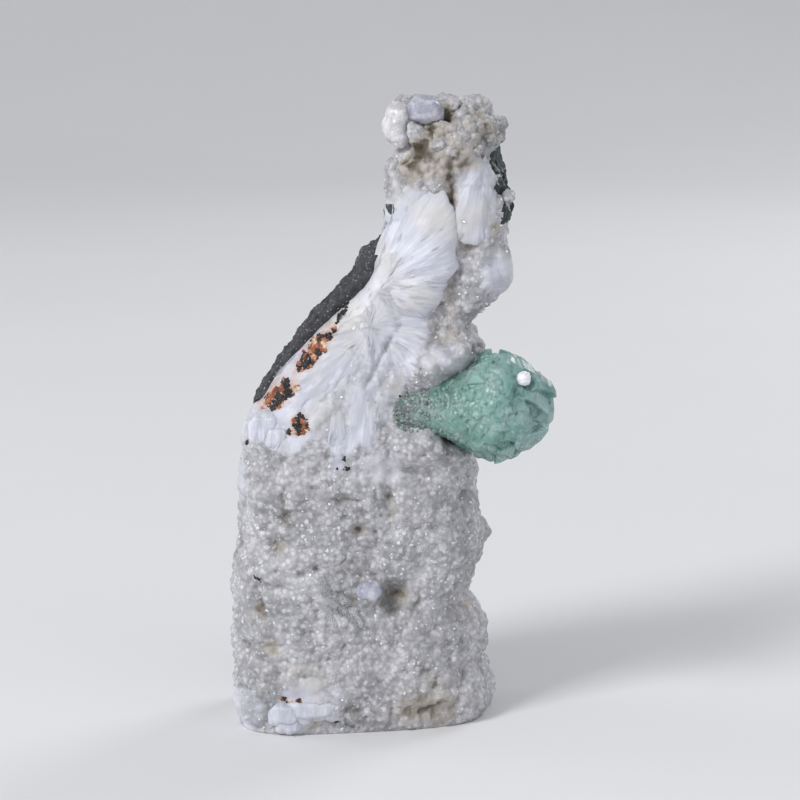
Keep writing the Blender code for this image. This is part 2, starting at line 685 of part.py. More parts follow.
def lavender_shape(extra):
    """One smooth, blunt crystal with six sides at the top."""
    x, y, z = LAVENDER_FOOT
    width, length, point = LAVENDER_SIZE
    whole = length + 2 * extra
    return pointed_crystal((x, y, z - extra), (0.05, -0.12, 1.0), width + 2 * extra, whole, point, 6, 0.35)


def lobe_shape(extra):
    """The smooth pale lobe beside it, taller than it is wide."""
    return ball(LOBE_CENTRE, LOBE_RADIUS + 1.2 * extra, LOBE_STRETCH)


def bead_place(cluster):
    """Where the small ball sits on the cluster's upper front."""
    x, z = BALL_PLACE
    ahead = Vector((x, -90.0, z)) * MM
    hit, place, _, _ = cluster.ray_cast(ahead, Vector((0, 1, 0)))
    if not hit:
        raise RuntimeError("the ball's place is off the cluster")
    return place / MM + Vector((0, -0.25 * BALL_RADIUS, 0))


def cut(body, cutter):
    """Takes a cutter's shape from a body at once."""
    boolean(body, "DIFFERENCE", cutter)
    settle(body)


def centre_on_origin(parts):
    """Moves all the pieces, by one parent, so that the origin is under the middle of their box."""
    corners = []
    for obj in parts.objects:
        flat = np.empty(3 * len(obj.data.vertices))
        obj.data.vertices.foreach_get("co", flat)
        points = flat.reshape(-1, 3)
        corners += [points.min(0), points.max(0)]
    low, high = np.min(corners, 0), np.max(corners, 0)
    centre = bpy.data.objects.new("specimen_centre", None)
    bpy.context.scene.collection.objects.link(centre)
    for obj in parts.objects:
        obj.parent = centre
    centre.location = (-(low[0] + high[0]) / 2, -(low[1] + high[1]) / 2, 0.0)
    print("moved by", [round(v / MM, 3) for v in centre.location], "mm")


def build():
    for obj in list(bpy.data.objects):
        bpy.data.objects.remove(obj)
    parts = in_collection(NAME)
    rock_extras = in_collection("joined_to_rock")
    cutters = in_collection("cutters")

    quartz_points(rock_extras)
    top_balls(rock_extras)
    rock = add_object("quartz_druse_matrix", rock_mesh(), parts, (0.62, 0.61, 0.58), 0.6)
    boolean(rock, "UNION", rock_extras)
    settle(rock)
    basalt = add_object("basalt_host_rock", rock.data.copy(), parts, (0.05, 0.055, 0.06), 0.8)
    boolean(basalt, "INTERSECT", boundary_slab("dark_side", BOUNDARY_GAP / 2, cutters))
    settle(basalt)
    cut(rock, boundary_slab("white_side", -BOUNDARY_GAP / 2, cutters))

    cluster = fused("green_apophyllite_cluster", cluster_shapes(0.0), parts, GREEN)
    cut(rock, as_cutter(fused("cluster_pocket", cluster_shapes(GAP), cutters, GREEN)))
    for name in PATCHES:
        add_object(name, mesh_from_bmesh(name, silk_patch(name, 0.0)), parts, *SILK)
        for body in (rock, basalt):
            cut(body, hidden(name + "_pocket", silk_patch(name, GAP), cutters))
    fused("clear_blades_front", blade_shapes(0.0), parts, GLASSY)
    cut(rock, as_cutter(fused("blades_pocket", blade_shapes(GAP), cutters, GLASSY)))
    for name, shape, look in (
        ("lavender_quartz_top", lavender_shape, LAVENDER),
        ("pale_lobe_top", lobe_shape, PALE),
    ):
        add_object(name, mesh_from_bmesh(name, shape(0.0)), parts, *look)
        cut(rock, hidden(name + "_pocket", shape(GAP), cutters))

    place = bead_place(cluster)
    bead = ball(place, BALL_RADIUS)
    add_object("white_ball_on_cluster", mesh_from_bmesh("bead", bead), parts, *SILK)
    cut(cluster, hidden("bead_pocket", ball(place, BALL_RADIUS + GAP), cutters))
    centre_on_origin(parts)


build()
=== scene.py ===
"""Dresses the green apophyllite specimen: druzy rock, silky fans, dark host rock, green crystals.

Shapes are worked out in millimetres in the specimen's own frame, where the front faces -Y, and
become metres when their meshes are made.
"""

import math

import bpy
import numpy as np
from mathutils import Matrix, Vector


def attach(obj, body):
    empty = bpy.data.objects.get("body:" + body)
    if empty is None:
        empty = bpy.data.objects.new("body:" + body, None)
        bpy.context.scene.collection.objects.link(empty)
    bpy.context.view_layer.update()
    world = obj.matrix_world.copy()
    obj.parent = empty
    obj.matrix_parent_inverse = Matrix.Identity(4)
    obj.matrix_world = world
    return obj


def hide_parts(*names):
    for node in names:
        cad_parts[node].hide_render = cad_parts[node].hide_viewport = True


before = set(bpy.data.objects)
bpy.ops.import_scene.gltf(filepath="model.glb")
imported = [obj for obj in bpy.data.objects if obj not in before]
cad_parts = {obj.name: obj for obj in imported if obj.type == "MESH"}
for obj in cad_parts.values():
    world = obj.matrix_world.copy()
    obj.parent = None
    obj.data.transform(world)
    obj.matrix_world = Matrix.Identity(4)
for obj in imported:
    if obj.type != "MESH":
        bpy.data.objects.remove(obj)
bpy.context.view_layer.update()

bl_info = {
    "name": "Green Apophyllite Specimen",
    "version": (1, 0, 0),
    "blender": (4, 5, 0),
    "location": "View3D > Sidebar > Specimen",
    "description": "Builds the fine surface and the materials of a green apophyllite specimen",
    "category": "Object",
}

BODY = "root"
MM = 0.001
SHIFT = np.array((0.552, 1.356, 0.0))  # millimetres from the specimen's own frame to the shared one

# Outlines of the white rock, as (height, x) seen from the front and (height, y) seen from the side
LEFT_EDGE = (
    (0, -38.2), (5, -39.4), (20, -40.0), (34, -39.6), (43, -39.3), (49, -38.5), (62, -38.0),
    (75, -36.6), (79, -34.4), (88, -29.8), (92, -26.6), (100, -19.0), (108.5, -10.6), (113, -7.8),
    (117.5, -6.8), (123, -2.4), (128, -1.4), (138, -1.0), (143.5, 0.8), (149, -1.5), (153, -0.8),
    (156, 2.5), (158, 9.0),
)
RIGHT_EDGE = (
    (0, 23.6), (5, 25.4), (9.5, 25.4), (13.5, 22.5), (19.5, 24.3), (26, 22.3), (32, 19.5),
    (37, 21.0), (43, 22.2), (48, 23.2), (52, 22.0), (61, 21.7), (69, 20.8), (75, 21.0), (92, 23.2),
    (96, 22.3), (100, 20.7), (104, 24.0), (109, 27.2), (114.5, 29.2), (117, 28.7), (124, 29.0),
    (131, 30.2), (137, 28.1), (143, 26.7), (149.5, 27.6), (153, 25.3), (156, 21.5), (158, 15.0),
)
FRONT_FACE = (
    (0, -20.0), (6, -22.0), (60, -22.0), (70, -21.5), (85, -19.0), (100, -17.0), (125, -14.2),
    (148, -14.0), (153, -11.5), (156, -8.0), (158, -3.0),
)
BACK_FACE = (
    (0, 23.0), (8, 25.5), (30, 25.5), (60, 23.0), (80, 20.5), (100, 18.0), (130, 14.5),
    (148, 14.5), (153, 12.0), (156, 8.5), (158, 4.0),
)
SQUARENESS = ((0, 3.4), (20, 3.0), (70, 3.2), (95, 3.6), (118, 3.0), (140, 2.4), (158, 2.0))
FRONT_TURN = 0.17
TOP = 158.0
DOME_FROM, DOME_TO = 150.0, 155.9  # the round top's first and last ring

# Relief: lumps as (cell size, height, seed), and where the silky upper front calms them
LUMPS = ((9.5, 2.1, 11), (5.2, 0.9, 23))
SILK_SHARE = 0.25
SILK_FROM, SILK_TO = 71.0, 136.0
SILK_EDGE = ((70, -6), (85, 1), (92, 7), (105, 10), (118, 15), (127, 15), (136, 6))
SILK_SIDE = 2.0
FLAT_FOOT = 3.0
FINE_LUMPS = ((3.7, 1.15, 41), (1.9, 0.65, 57), (1.0, 0.22, 63))
FINE_SILK_SHARE = 0.16

# Hollows (x, height, half-width, half-height, depth) and knobs (x, y, height, radius, out)
HOLLOW_SIDE = -4.0
HOLLOWS = {
    "deep_pit": (1.5, 34.0, 3.4, 3.8, 5.5),
    "left_slit": (-33.2, 32.5, 1.6, 4.5, 3.0),
    "left_pit": (-28.2, 47.3, 2.2, 2.0, 2.2),
    "upper_pit": (-11.5, 58.7, 2.0, 2.0, 2.2),
    "middle_pit": (-7.5, 51.8, 2.0, 1.6, 2.0),
    "long_crease": (8.0, 65.4, 9.0, 1.7, 2.0),
    "pit_row": (0.2, 60.5, 1.8, 4.0, 1.8),
    "low_left_pit": (-29.5, 22.1, 2.2, 1.8, 2.2),
    "foot_crevice": (9.8, 4.6, 4.5, 1.9, 2.6),
    "under_cluster": (16.5, 73.8, 3.4, 2.6, 4.0),
    "top_crevice": (14.2, 153.5, 2.0, 2.6, 3.0),
    "top_cavity": (9.8, 149.5, 2.4, 2.0, 2.6),
    "side_cavity": (6.5, 143.2, 1.9, 1.9, 2.0),
    "brown_groove": (14.8, 132.5, 1.6, 6.5, 2.0),
    "low_groove": (19.2, 120.5, 2.8, 1.6, 1.8),
}
KNOBS = {
    "edge_knob": (23.6, 1.0, 47.2, 2.6, 2.2),
    "edge_lump": (21.6, 1.0, 41.5, 3.2, 1.4),
    "foot_ledge": (25.0, 2.0, 8.5, 4.0, 1.2),
    "round_lump": (-16.0, -22.0, 48.5, 2.6, 1.6),
    "shoulder": (16.5, -17.5, 97.0, 6.5, 2.8),
    "right_lobe": (27.5, -6.0, 113.0, 6.0, 2.0),
    "lip": (12.0, -20.5, 70.0, 5.0, 2.2),
    "foot_block": (-34.0, -17.0, 9.0, 6.0, 1.2),
}
# Smaller lumps than the solid has: x, y, height, radius, out
SMALL_LUMPS = (
    (17.5, -11.0, 152.5, 3.2, 1.8), (18.5, -13.0, 147.0, 3.4, 1.4), (21.0, -11.0, 141.0, 3.0, 1.2),
    (12.5, -13.0, 149.0, 2.2, 1.2), (4.0, -13.0, 146.0, 3.0, 0.9), (10.0, -14.5, 136.0, 3.5, 0.8),
    (3.0, -12.0, 139.0, 2.6, 1.2), (25.5, -9.0, 146.5, 2.4, 1.2), (23.0, -14.0, 108.0, 3.5, 1.0),
    (18.0, -20.0, 92.5, 4.5, 2.4), (11.5, -20.5, 91.5, 4.0, 2.0), (-30.0, -20.0, 55.0, 5.0, 1.0),
    (-20.0, -23.0, 30.0, 4.0, 1.0), (-27.0, -24.0, 40.0, 4.0, 0.9), (10.0, -20.0, 28.0, 4.5, 1.3),
    (2.0, -22.0, 15.0, 4.0, 1.0), (16.0, -17.0, 52.0, 4.0, 1.3),
)
# Where the rock is silky besides its upper front: x, height, half-width, half-height
SILKY_SPOTS = (
    (21.0, 131.0, 6.0, 12.5), (-19.5, 9.6, 8.5, 4.2), (-25.0, 4.0, 5.0, 4.5), (-36.5, 5.5, 5.0, 7.0),
    (27.5, 113.0, 5.5, 6.0), (13.0, 92.0, 6.5, 5.0), (-38.0, 66.0, 2.0, 9.0), (-4.0, 66.0, 7.0, 3.5),
)

# Where the dark rock comes to the surface
BASALT_DEPTH = 7.0
BOUNDARY_WAVE = 4.0
SLANT_FRONT, SLANT_SPAN = -11.5, (78.0, 130.0)
SHOULDER_FRONT, SHOULDER_SPAN = -2.5, (122.0, 147.0)
PAST_BACK = 5.0
RAGGED = 6.0
COVERED_FOOT = 5.0
COVERED_LEFT = (10.0, 72.0)
COVERED_RIGHT = 14.0
COVERED_NECK = (5.0, 124.0)
COVERED_CROWN = 140.0
SLANT_SWELLS = ((104.0, 9.0, 1.7), (121.5, 6.0, -1.4))  # height, half-height, out
TUCK = 2.6  # how deep each rock's surface lies under the other where it is covered
CORE_SHARE = 0.6  # size of the dark rock's hidden front, of the whole outline

# Silky patches: centre (x, height), outline as (degrees, reach), then swell, sink, the share of the
# swell that shows above the rock, how strong the ribs are, and how sharp the rim is
PATCHES = {
    "stilbite_fan_main": (
        (-4.0, 111.0),
        ((-58, 9), (-28, 15), (0, 17.5), (15, 21), (32, 24), (55, 28), (67, 24), (77, 15), (90, 7)),
        (3.4, 3.0, 0.75, 0.3, 5.0),
    ),
    "stilbite_fan_right": (
        (23.0, 142.4),
        ((-124, 9), (-116, 17), (-108, 21), (-98, 21.5), (-88, 20), (-80, 15), (-73, 8)),
        (2.4, 2.2, 0.35, 0.12, 2.2),
    ),
    "stilbite_sheaf_middle": (
        (-5.0, 90.2),
        ((76, 4), (86, 11), (97, 13), (108, 11), (118, 4)),
        (2.0, 1.8, 0.4, 0.4, 4.0),
    ),
    "stilbite_curtain_left": (
        (-12.8, 91.0),
        ((-103, 10), (-97, 19), (-90, 20.5), (-83, 19), (-77, 10)),
        (1.7, 1.8, 0.25, 0.3, 2.5),
    ),
}
PATCH_OUT = 0.2
FAN_POINTS = (3.2, 3.0)  # mesh points a millimetre, across and along the fibres
EDGE_DIP = 1.0  # how deep a patch's sides lie under the rock's surface
# Blunt blocks of blades: x, height, depth under the surface, three half-sizes
BLOCKS = {
    "stilbite_blades_left": (
        (-30.6, 76.4, 1.1, 4.2, 2.4, 4.6), (-27.6, 74.4, 1.5, 3.2, 2.3, 3.2),
        (-34.0, 75.4, 1.5, 2.6, 2.0, 3.8),
    ),
    "stilbite_blades_foot": (
        (-19.6, 6.6, 1.6, 7.6, 2.8, 3.0), (-25.8, 5.4, 1.7, 4.6, 2.8, 3.6),
        (-25.2, 2.6, 0.9, 3.4, 2.6, 2.4), (-14.8, 6.0, 1.8, 3.6, 2.6, 2.8),
    ),
}

# Centres that the fibres run out from, and creases and ribs as (x, z, x, z, width, height)
FAN_CENTRES = np.array(((-3.0, 109.5), (-4.8, 101.4), (16.0, 160.0), (24.5, 143.0)))
RIBS = (
    (0.5, 125.0, -3.8, 117.0, 1.1, -0.8), (-3.8, 117.0, -7.5, 111.0, 1.1, -0.9),
    (0.2, 98.4, -6.0, 87.0, 0.7, -0.8), (-2.5, 109.4, 8.7, 104.4, 0.8, 0.8),
    (-3.5, 109.0, 1.3, 101.7, 0.7, 0.7), (-10.5, 95.6, -5.3, 90.5, 0.7, 0.7),
    (-7.0, 99.5, -3.2, 88.0, 1.2, 0.8), (-9.0, 92.0, -16.0, 80.0, 1.3, 0.6),
    (-5.0, 100.0, -9.0, 78.0, 1.5, 0.5), (15.5, 119.0, 15.0, 107.0, 1.4, -1.2),
    (13.0, 104.0, 9.5, 97.0, 1.4, -0.9), (-1.0, 97.0, 4.0, 84.0, 1.0, -0.5),
)

# The green cluster: where it leaves the rock, and which way it grows
ROOT = np.array((3.6, -17.0, 80.8))
AXIS = np.array((1.0, 0.16, 0.0)) / math.hypot(1.0, 0.16)
BALL_SPOT, BALL_RADIUS = (32.2, 89.5), 1.85  # x and height of the white ball
ROOT_SPOT = (5.0, 79.6, 4.2, 4.4)  # the green crystals on the rock: x, height, half-width, half-height
ROOT_COUNT, STEM_COUNT = 150, 380  # how many of them, and how many on the cluster's stem
LARGE_CRYSTAL = 6.4  # width in millimetres that the table of crystals is for
TIP_SLOPE = 0.73  # rise over run of the four faces of a point
# The barrel that the crystals stand on: along the axis and out from it, from the far end to the root
BARREL = (
    (34.6, 0.0), (33.9, 4.0), (32.0, 7.0), (29.2, 9.5), (26.2, 11.2), (23.0, 12.3), (20.0, 12.3),
    (16.0, 10.2), (10.0, 7.0), (5.0, 5.0), (1.5, 3.8), (-1.5, 2.6), (-2.6, 0.0),
)
BARREL_GRID = (360, 330)  # rows and columns of its mesh
# Layers of crystals: how many, half their width, how far their sides show, least and most distance
# from the root
CRYSTALS = (
    (22, 3.1, 0.5, 25.0, 40.0), (60, 1.7, 0.35, 19.0, 37.0),
    (330, 0.9, 0.25, 15.0, 37.0), (1300, 0.45, 0.15, 9.0, 37.0),
)

# Stains on the white rock: x, height, half-width, half-height, strength
BROWN_STAINS = (
    (10.5, 150.8, 1.5, 2.2, 1.0), (9.0, 148.1, 1.3, 1.5, 1.0), (6.2, 143.2, 2.8, 1.7, 1.1),
    (7.8, 146.0, 1.4, 1.6, 0.9), (5.2, 141.2, 1.8, 2.0, 0.9), (10.5, 140.5, 5.5, 3.0, 0.35),
    (5.5, 138.0, 2.5, 2.0, 0.7), (15.0, 138.5, 4.0, 2.5, 0.5), (12.0, 147.0, 9.0, 7.0, 0.22),
    (22.7, 151.0, 2.2, 2.4, 0.85), (24.6, 148.0, 1.8, 1.5, 0.7), (14.4, 154.4, 0.9, 2.6, 1.3),
    (12.6, 152.6, 1.2, 1.0, 0.8), (14.6, 132.3, 1.2, 7.0, 0.7), (11.5, 141.0, 8.5, 4.6, 0.3),
    (18.0, 149.0, 5.0, 5.0, 0.25), (18.5, 141.0, 2.2, 1.8, 0.5), (25.5, 124.4, 1.1, 1.4, 0.8),
    (19.0, 120.6, 3.4, 1.8, 0.55),
    (15.0, 106.5, 1.6, 6.0, 0.5), (13.5, 98.5, 3.0, 2.5, 0.35), (1.6, 87.5, 1.4, 4.0, 0.35),
    (-22.0, 15.0, 11.0, 4.5, 0.28), (9.8, 4.9, 4.5, 1.9, 0.35), (9.0, 5.0, 10.0, 4.5, 0.5),
    (-18.5, 2.6, 2.2, 1.2, 0.6), (-33.2, 31.0, 1.1, 3.2, 1.0), (-28.2, 47.3, 1.7, 1.5, 0.7),
    (-11.5, 58.7, 1.3, 1.2, 0.5), (-7.5, 51.8, 1.6, 1.0, 1.0), (3.0, 33.2, 2.2, 2.2, 0.7),
    (9.0, 12.0, 9.0, 7.0, 0.2),
    (-29.5, 22.1, 2.2, 1.5, 0.7), (0.6, 56.2, 1.3, 3.0, 0.4), (16.8, 73.6, 2.6, 1.6, 1.2),
    (17.0, 34.0, 2.2, 1.4, 0.5), (20.5, 30.0, 1.8, 1.2, 0.5), (11.0, 147.0, 2.5, 1.2, 0.4),
    (20.0, 143.0, 3.0, 3.0, 0.35),
)
# Dark green film on the right shoulder and the neck: x, height, half-width, half-height
FILM_SPOTS = (
    (26.3, 141.0, 1.6, 4.4), (28.4, 134.5, 3.0, 2.7), (28.2, 127.5, 1.1, 2.7), (0.0, 129.0, 1.2, 1.5),
    (1.0, 146.0, 0.6, 0.7),
)
# Grains of rust: x, height, half-length, half-width, degrees from level, how many
RUST_SPOTS = (
    (-18.6, 95.4, 8.4, 2.3, 49, 420), (-27.8, 84.6, 6.6, 2.9, 33, 400), (-22.0, 77.9, 2.9, 2.3, 70, 110),
    (-24.3, 76.2, 0.9, 0.8, 0, 14), (-26.8, 9.4, 0.8, 0.5, 30, 8), (-25.2, 8.6, 1.0, 0.6, 30, 10),
    (-22.6, 8.9, 1.1, 0.8, 60, 12),
)
BLACK_SPOTS = (
    (-11.8, 104.2, 3.6, 0.7, 58, 46), (-36.0, 73.0, 2.3, 1.1, -30, 40), (-11.3, 69.2, 1.0, 0.35, 65, 6),
    (-10.6, 67.0, 1.1, 0.8, 0, 12), (-13.0, 66.8, 0.4, 0.4, 0, 2), (-33.2, 39.0, 1.4, 0.5, -50, 7),
    (-13.4, 3.4, 0.5, 0.3, 0, 2), (2.8, 83.9, 1.2, 0.4, -45, 5), (-22.3, 77.4, 1.4, 1.0, 80, 22),
)
# Round lumps of druse at the top: x, y, height, radius
DRUSE_BALLS = (
    (15.2, -7.0, 154.4, 1.7), (22.8, -3.0, 153.4, 1.9), (26.5, -3.5, 149.4, 2.1),
    (18.8, 0.0, 154.6, 1.9), (20.5, -10.5, 149.4, 1.9), (11.5, -13.0, 145.6, 2.2),
    (28.6, -6.5, 132.0, 1.7), (17.5, -10.5, 152.0, 1.6), (24.0, -8.5, 146.0, 1.6),
    (21.0, -11.5, 144.0, 1.5), (17.5, -13.0, 147.5, 1.8), (14.5, -13.5, 143.5, 1.7),
)
BALL_LUMPS = ((2.4, 0.5, 400), (1.1, 0.45, 401), (0.5, 0.12, 402))  # cell size, height, seed
# Where the druse swells forwards round the cluster: x, height, radius, how far
BULGES = (
    (9.0, 73.6, 2.6, 4.2), (12.2, 71.6, 3.0, 5.4), (15.6, 69.4, 3.0, 6.0), (18.2, 66.6, 2.4, 4.0),
    (5.0, 70.5, 3.5, 2.0), (6.5, 90.0, 2.6, 3.2), (10.0, 91.4, 2.8, 4.8), (13.6, 93.0, 3.0, 6.0),
    (17.0, 95.4, 2.6, 6.0), (19.2, 97.6, 2.2, 4.5),
)
# A corner of the foot darkened in patches with the clefts' painted shade colour: x, height, half-width,
# half-height
DIM_SPOT = (8.5, 5.5, 9.5, 5.0)
# Middle and half-sizes of the smooth crystals at the top
SMOOTH_PIECES = {
    "lavender_quartz_top": ((8.2, -8.8, 153.0), (4.7, 4.6, 3.7)),
    "pale_lobe_top": ((1.7, -8.0, 149.4), (3.5, 4.2, 5.6)),
}
# Which way each flat face of a blunt crystal looks, and how far it is from the middle
CRYSTAL_FACES = (
    (0.1, -1.0, 0.1, 0.86), (0.85, -0.5, 0.0, 0.9), (-0.85, -0.45, -0.1, 0.92), (0.05, -0.3, 1.0, 0.8),
    (0.85, 0.0, 0.6, 0.92), (-0.85, 0.0, 0.55, 0.95), (0.0, 1.0, 0.2, 0.9), (0.9, 0.5, -0.1, 0.95),
    (-0.9, 0.5, 0.0, 0.95), (0.35, -0.75, -0.8, 0.92), (-0.5, -0.4, -0.9, 0.95), (0.2, 0.3, -1.0, 0.9),
)
# Single bright blades: how many, and where they may lie in x and height
SINGLE_BLADES = 1500
SINGLE_X, SINGLE_Z = (-38.0, 16.0), (72.0, 135.0)
# The clear blades: their middle (x, height), slope, and how many there are
BLADES_MIDDLE = (-12.8, 34.2)
BLADES_SLOPE = -54.0
BLADES_COUNT = 22
DOME_SPOT = (-5.6, 36.0)  # x and height of the grey dome beside them
# Lights: name, place, size in metres, watts
LIGHTS = (
    ("key_light", (-1.15, -1.2, 1.35), 0.6, 27.0), ("fill_light", (1.3, -1.2, 0.5), 0.9, 4.0),
    ("back_light", (0.9, 1.1, 0.9), 0.6, 7.0), ("left_light", (-1.4, 0.5, 0.5), 0.6, 3.0),
)
LIGHT_TARGET = (0.0, 0.0, 0.08)
ROOM_COLOUR, ROOM_LIGHT = (0.9, 0.92, 0.95), 0.43
CAMERA_TARGET = (0.0028, 0.0014, 0.0802)
FLOOR_FLAT, FLOOR_CURVE, FLOOR_RISE = 1.4, 1.2, 1.2  # metres: level part, curve's run and rise

WORK = {}  # surfaces that several operators need, so that each is worked out once


def linear(code):
    """An sRGB hex colour as three linear values."""
    channels = (int(code[i : i + 2], 16) / 255 for i in (1, 3, 5))
    return tuple(c / 12.92 if c <= 0.04045 else ((c + 0.055) / 1.055) ** 2.4 for c in channels)


# Repeatable noise


def scatter(cells, seed):
    """One repeatable number from 0 to 1 for each row of three whole numbers, by mixing their bits."""
    n = cells.astype(np.int64)
    mixed = n[..., 0] * 73856093 ^ n[..., 1] * 19349663 ^ n[..., 2] * 83492791 ^ seed * 26544357
    mixed = ((mixed ^ (mixed >> 13)) & 0x7FFFFFFF) * 12741261
    mixed = mixed ^ (mixed >> 16)
    return (mixed & 0xFFFFFF) / 0xFFFFFF


def nearest_seed(points, size, seed):
    """Distance, in cells, from each point to the nearest of the jittered seeds of a lattice."""
    scaled = points / size
    home = np.floor(scaled)
    best = np.full(points.shape[:-1], 9.0)
    for dx in (-1, 0, 1):
        for dy in (-1, 0, 1):
            for dz in (-1, 0, 1):
                cell = home + (dx, dy, dz)
                jitter = np.stack([scatter(cell, seed + k) for k in range(3)], -1)
                offset = cell + 0.15 + 0.7 * jitter - scaled
                best = np.minimum(best, np.sqrt((offset**2).sum(-1)))
    return best


def rounded(points, size, seed):
    """Round lumps from -0.8 in the clefts to 0.2 on the crowns: one less the squared distance."""
    return np.clip(1.0 - (nearest_seed(points, size, seed) / 0.85) ** 2, 0, 1) - 0.8


def smooth(value):
    """Rises from 0 to 1 with level ends as the value goes from 0 to 1."""
    t = np.clip(value, 0.0, 1.0)
    return t * t * (3.0 - 2.0 * t)


def turned(degrees):
    """Cosine and sine of an angle in degrees."""
    return math.cos(math.radians(degrees)), math.sin(math.radians(degrees))


def normalised(vectors):
    """The same directions with a length of one."""
    return vectors / np.linalg.norm(vectors, axis=-1, keepdims=True)


def bell(x, z, middle_x, middle_z, wide, tall):
    """1 at a spot on the front, falling as a bell curve in width and height."""
    return np.exp(-(((x - middle_x) / wide) ** 2) - ((z - middle_z) / tall) ** 2)


def lump(points, x, y, z, radius):
    """1 at a spot in space, falling as a bell curve all round."""
    return np.exp(-((points - (x, y, z)) ** 2).sum(-1) / radius**2)


def drift(points, size, seed):
    """Soft noise from -0.5 to 0.5: random values at a lattice's corners, blended between them."""
    scaled = points / size
    home = np.floor(scaled)
    part = smooth(scaled - home)
    total = 0.0
    for dx in (0, 1):
        for dy in (0, 1):
            for dz in (0, 1):
                weight = np.prod(np.where((dx, dy, dz), part, 1 - part), axis=-1)
                total = total + weight * scatter(home + (dx, dy, dz), seed)
    return total - 0.5


def along(points, height):
    """Smooth curve through (height, value) points that never swings past them."""
    knots = np.array([p[0] for p in points], float)
    values = np.array([p[1] for p in points], float)
    rise = np.diff(values) / np.diff(knots)
    before, after = rise[:-1], rise[1:]
    same_way = before * after > 0
    mean = np.where(same_way, 2 * before * after / np.where(same_way, before + after, 1.0), 0.0)
    slopes = np.concatenate([rise[:1], mean, rise[-1:]])
    h = np.clip(height, knots[0], knots[-1])
    i = np.clip(np.searchsorted(knots, h) - 1, 0, len(knots) - 2)
    span = knots[i + 1] - knots[i]
    t = (h - knots[i]) / span
    start = (1 + 2 * t) * (1 - t) ** 2 * values[i] + t * (1 - t) ** 2 * span * slopes[i]
    end = t * t * (3 - 2 * t) * values[i + 1] + t * t * (t - 1) * span * slopes[i + 1]
    return start + end


# The rock's form, with the same formulas as the solid


def section(height):
    """Middle and half-size in x and y, squareness and turn of the rock's outline at a height."""
    left, right = along(LEFT_EDGE, height), along(RIGHT_EDGE, height)
    front, back = along(FRONT_FACE, height), along(BACK_FACE, height)
    turn = FRONT_TURN * (1.0 - 0.6 * height / TOP)
    middle = (left + right) / 2, (front + back) / 2
    half = (right - left) / 2, (back - front) / 2
    return middle, half, along(SQUARENESS, height), turn


def rock_point(angle, height):
    """Point of the smooth rock: a rounded rectangle at each height, its front turned a little."""
    (mid_x, mid_y), (half_x, half_y), power, turn = section(height)
    c, s = np.cos(angle), np.sin(angle)
    reach = (np.abs(c) ** power + np.abs(s) ** power) ** (-1.0 / power)
    across, deep = reach * c, reach * s
    x = mid_x + half_x * across
    y = mid_y + half_y * deep + turn * half_x * across * (1 - deep) / 2
    return np.stack([x, y, height + 0.0 * x], -1)


def front_y(x, height):
    """The y of the smooth rock's front face at an x and a height."""
    (mid_x, mid_y), (half_x, half_y), power, turn = section(height)
    across = np.clip((x - mid_x) / half_x, -0.9, 0.95)
    deep = -((1.0 - np.abs(across) ** power) ** (1.0 / power))
    return mid_y + half_y * deep + turn * half_x * across * (1 - deep) / 2


def silkiness(points):
    """1 on the silky upper front, 0 on the sugary druse."""
    x, y, z = points[..., 0], points[..., 1], points[..., 2]
    inside = smooth((along(SILK_EDGE, z) - x) / 3.0 + 0.5)
    inside = inside * smooth((z - SILK_FROM) / 4.0 + 0.5) * smooth((SILK_TO - z) / 5.0 + 0.5)
    return inside * smooth((SILK_SIDE - y) / 6.0)


def boundary_y(x, height):
    """The y where white rock meets dark rock; past the back face the druse covers all."""
    left, right = along(LEFT_EDGE, height), along(RIGHT_EDGE, height)
    wavy = np.stack([x, 0.0 * x, height + 0.0 * x], -1)
    y = BASALT_DEPTH + BOUNDARY_WAVE * rounded(wavy, 15.0, 71)
    low, high = SLANT_SPAN
    slant = smooth((left + 10.0 - x) / 8.0) * smooth((height - low) / 5.0) * smooth((high - height) / 6.0)
    y = y + (SLANT_FRONT - y) * slant
    low, high = SHOULDER_SPAN
    shoulder = smooth((x - right + 8.0) / 6.0) * smooth((height - low) / 4.0)
    shoulder = shoulder * smooth((high - height) / 4.0)
    y = y + (SHOULDER_FRONT - y) * shoulder
    ragged_x = x + RAGGED * rounded(wavy, 13.0, 81)
    ragged_z = height + RAGGED * rounded(wavy, 17.0, 85)
    foot = 1.0 - smooth((ragged_z - COVERED_FOOT) / 14.0)
    width, low = COVERED_LEFT
    block_left = smooth((left + width - ragged_x) / 9.0) * (1.0 - smooth((height - low) / 8.0))
    edge_right = smooth((ragged_x - right + COVERED_RIGHT) / 8.0) * (1.0 - shoulder)
    width, low = COVERED_NECK
    neck_left = smooth((left + width - ragged_x) / 8.0) * smooth((height - low) / 8.0)
    crown = smooth((ragged_z - COVERED_CROWN) / 8.0)
    covered = np.max([foot, block_left, edge_right, neck_left, crown], axis=0)
    return y + (along(BACK_FACE, height) + PAST_BACK - y) * covered


def ragged_boundary(points):
    """The boundary, made ragged by soft noise on the sides and the back, which the photo doesn't show."""
    away = smooth((points[..., 1] + 7.0) / 6.0) * smooth((144.0 - points[..., 2]) / 8.0)
    x = points[..., 0] + away * (7.0 * drift(points, 11.0, 91) + 3.0 * drift(points, 4.0, 92))
    z = points[..., 2] + away * (9.0 * drift(points, 12.0, 93) + 3.0 * drift(points, 4.5, 94))
    return boundary_y(x, z)


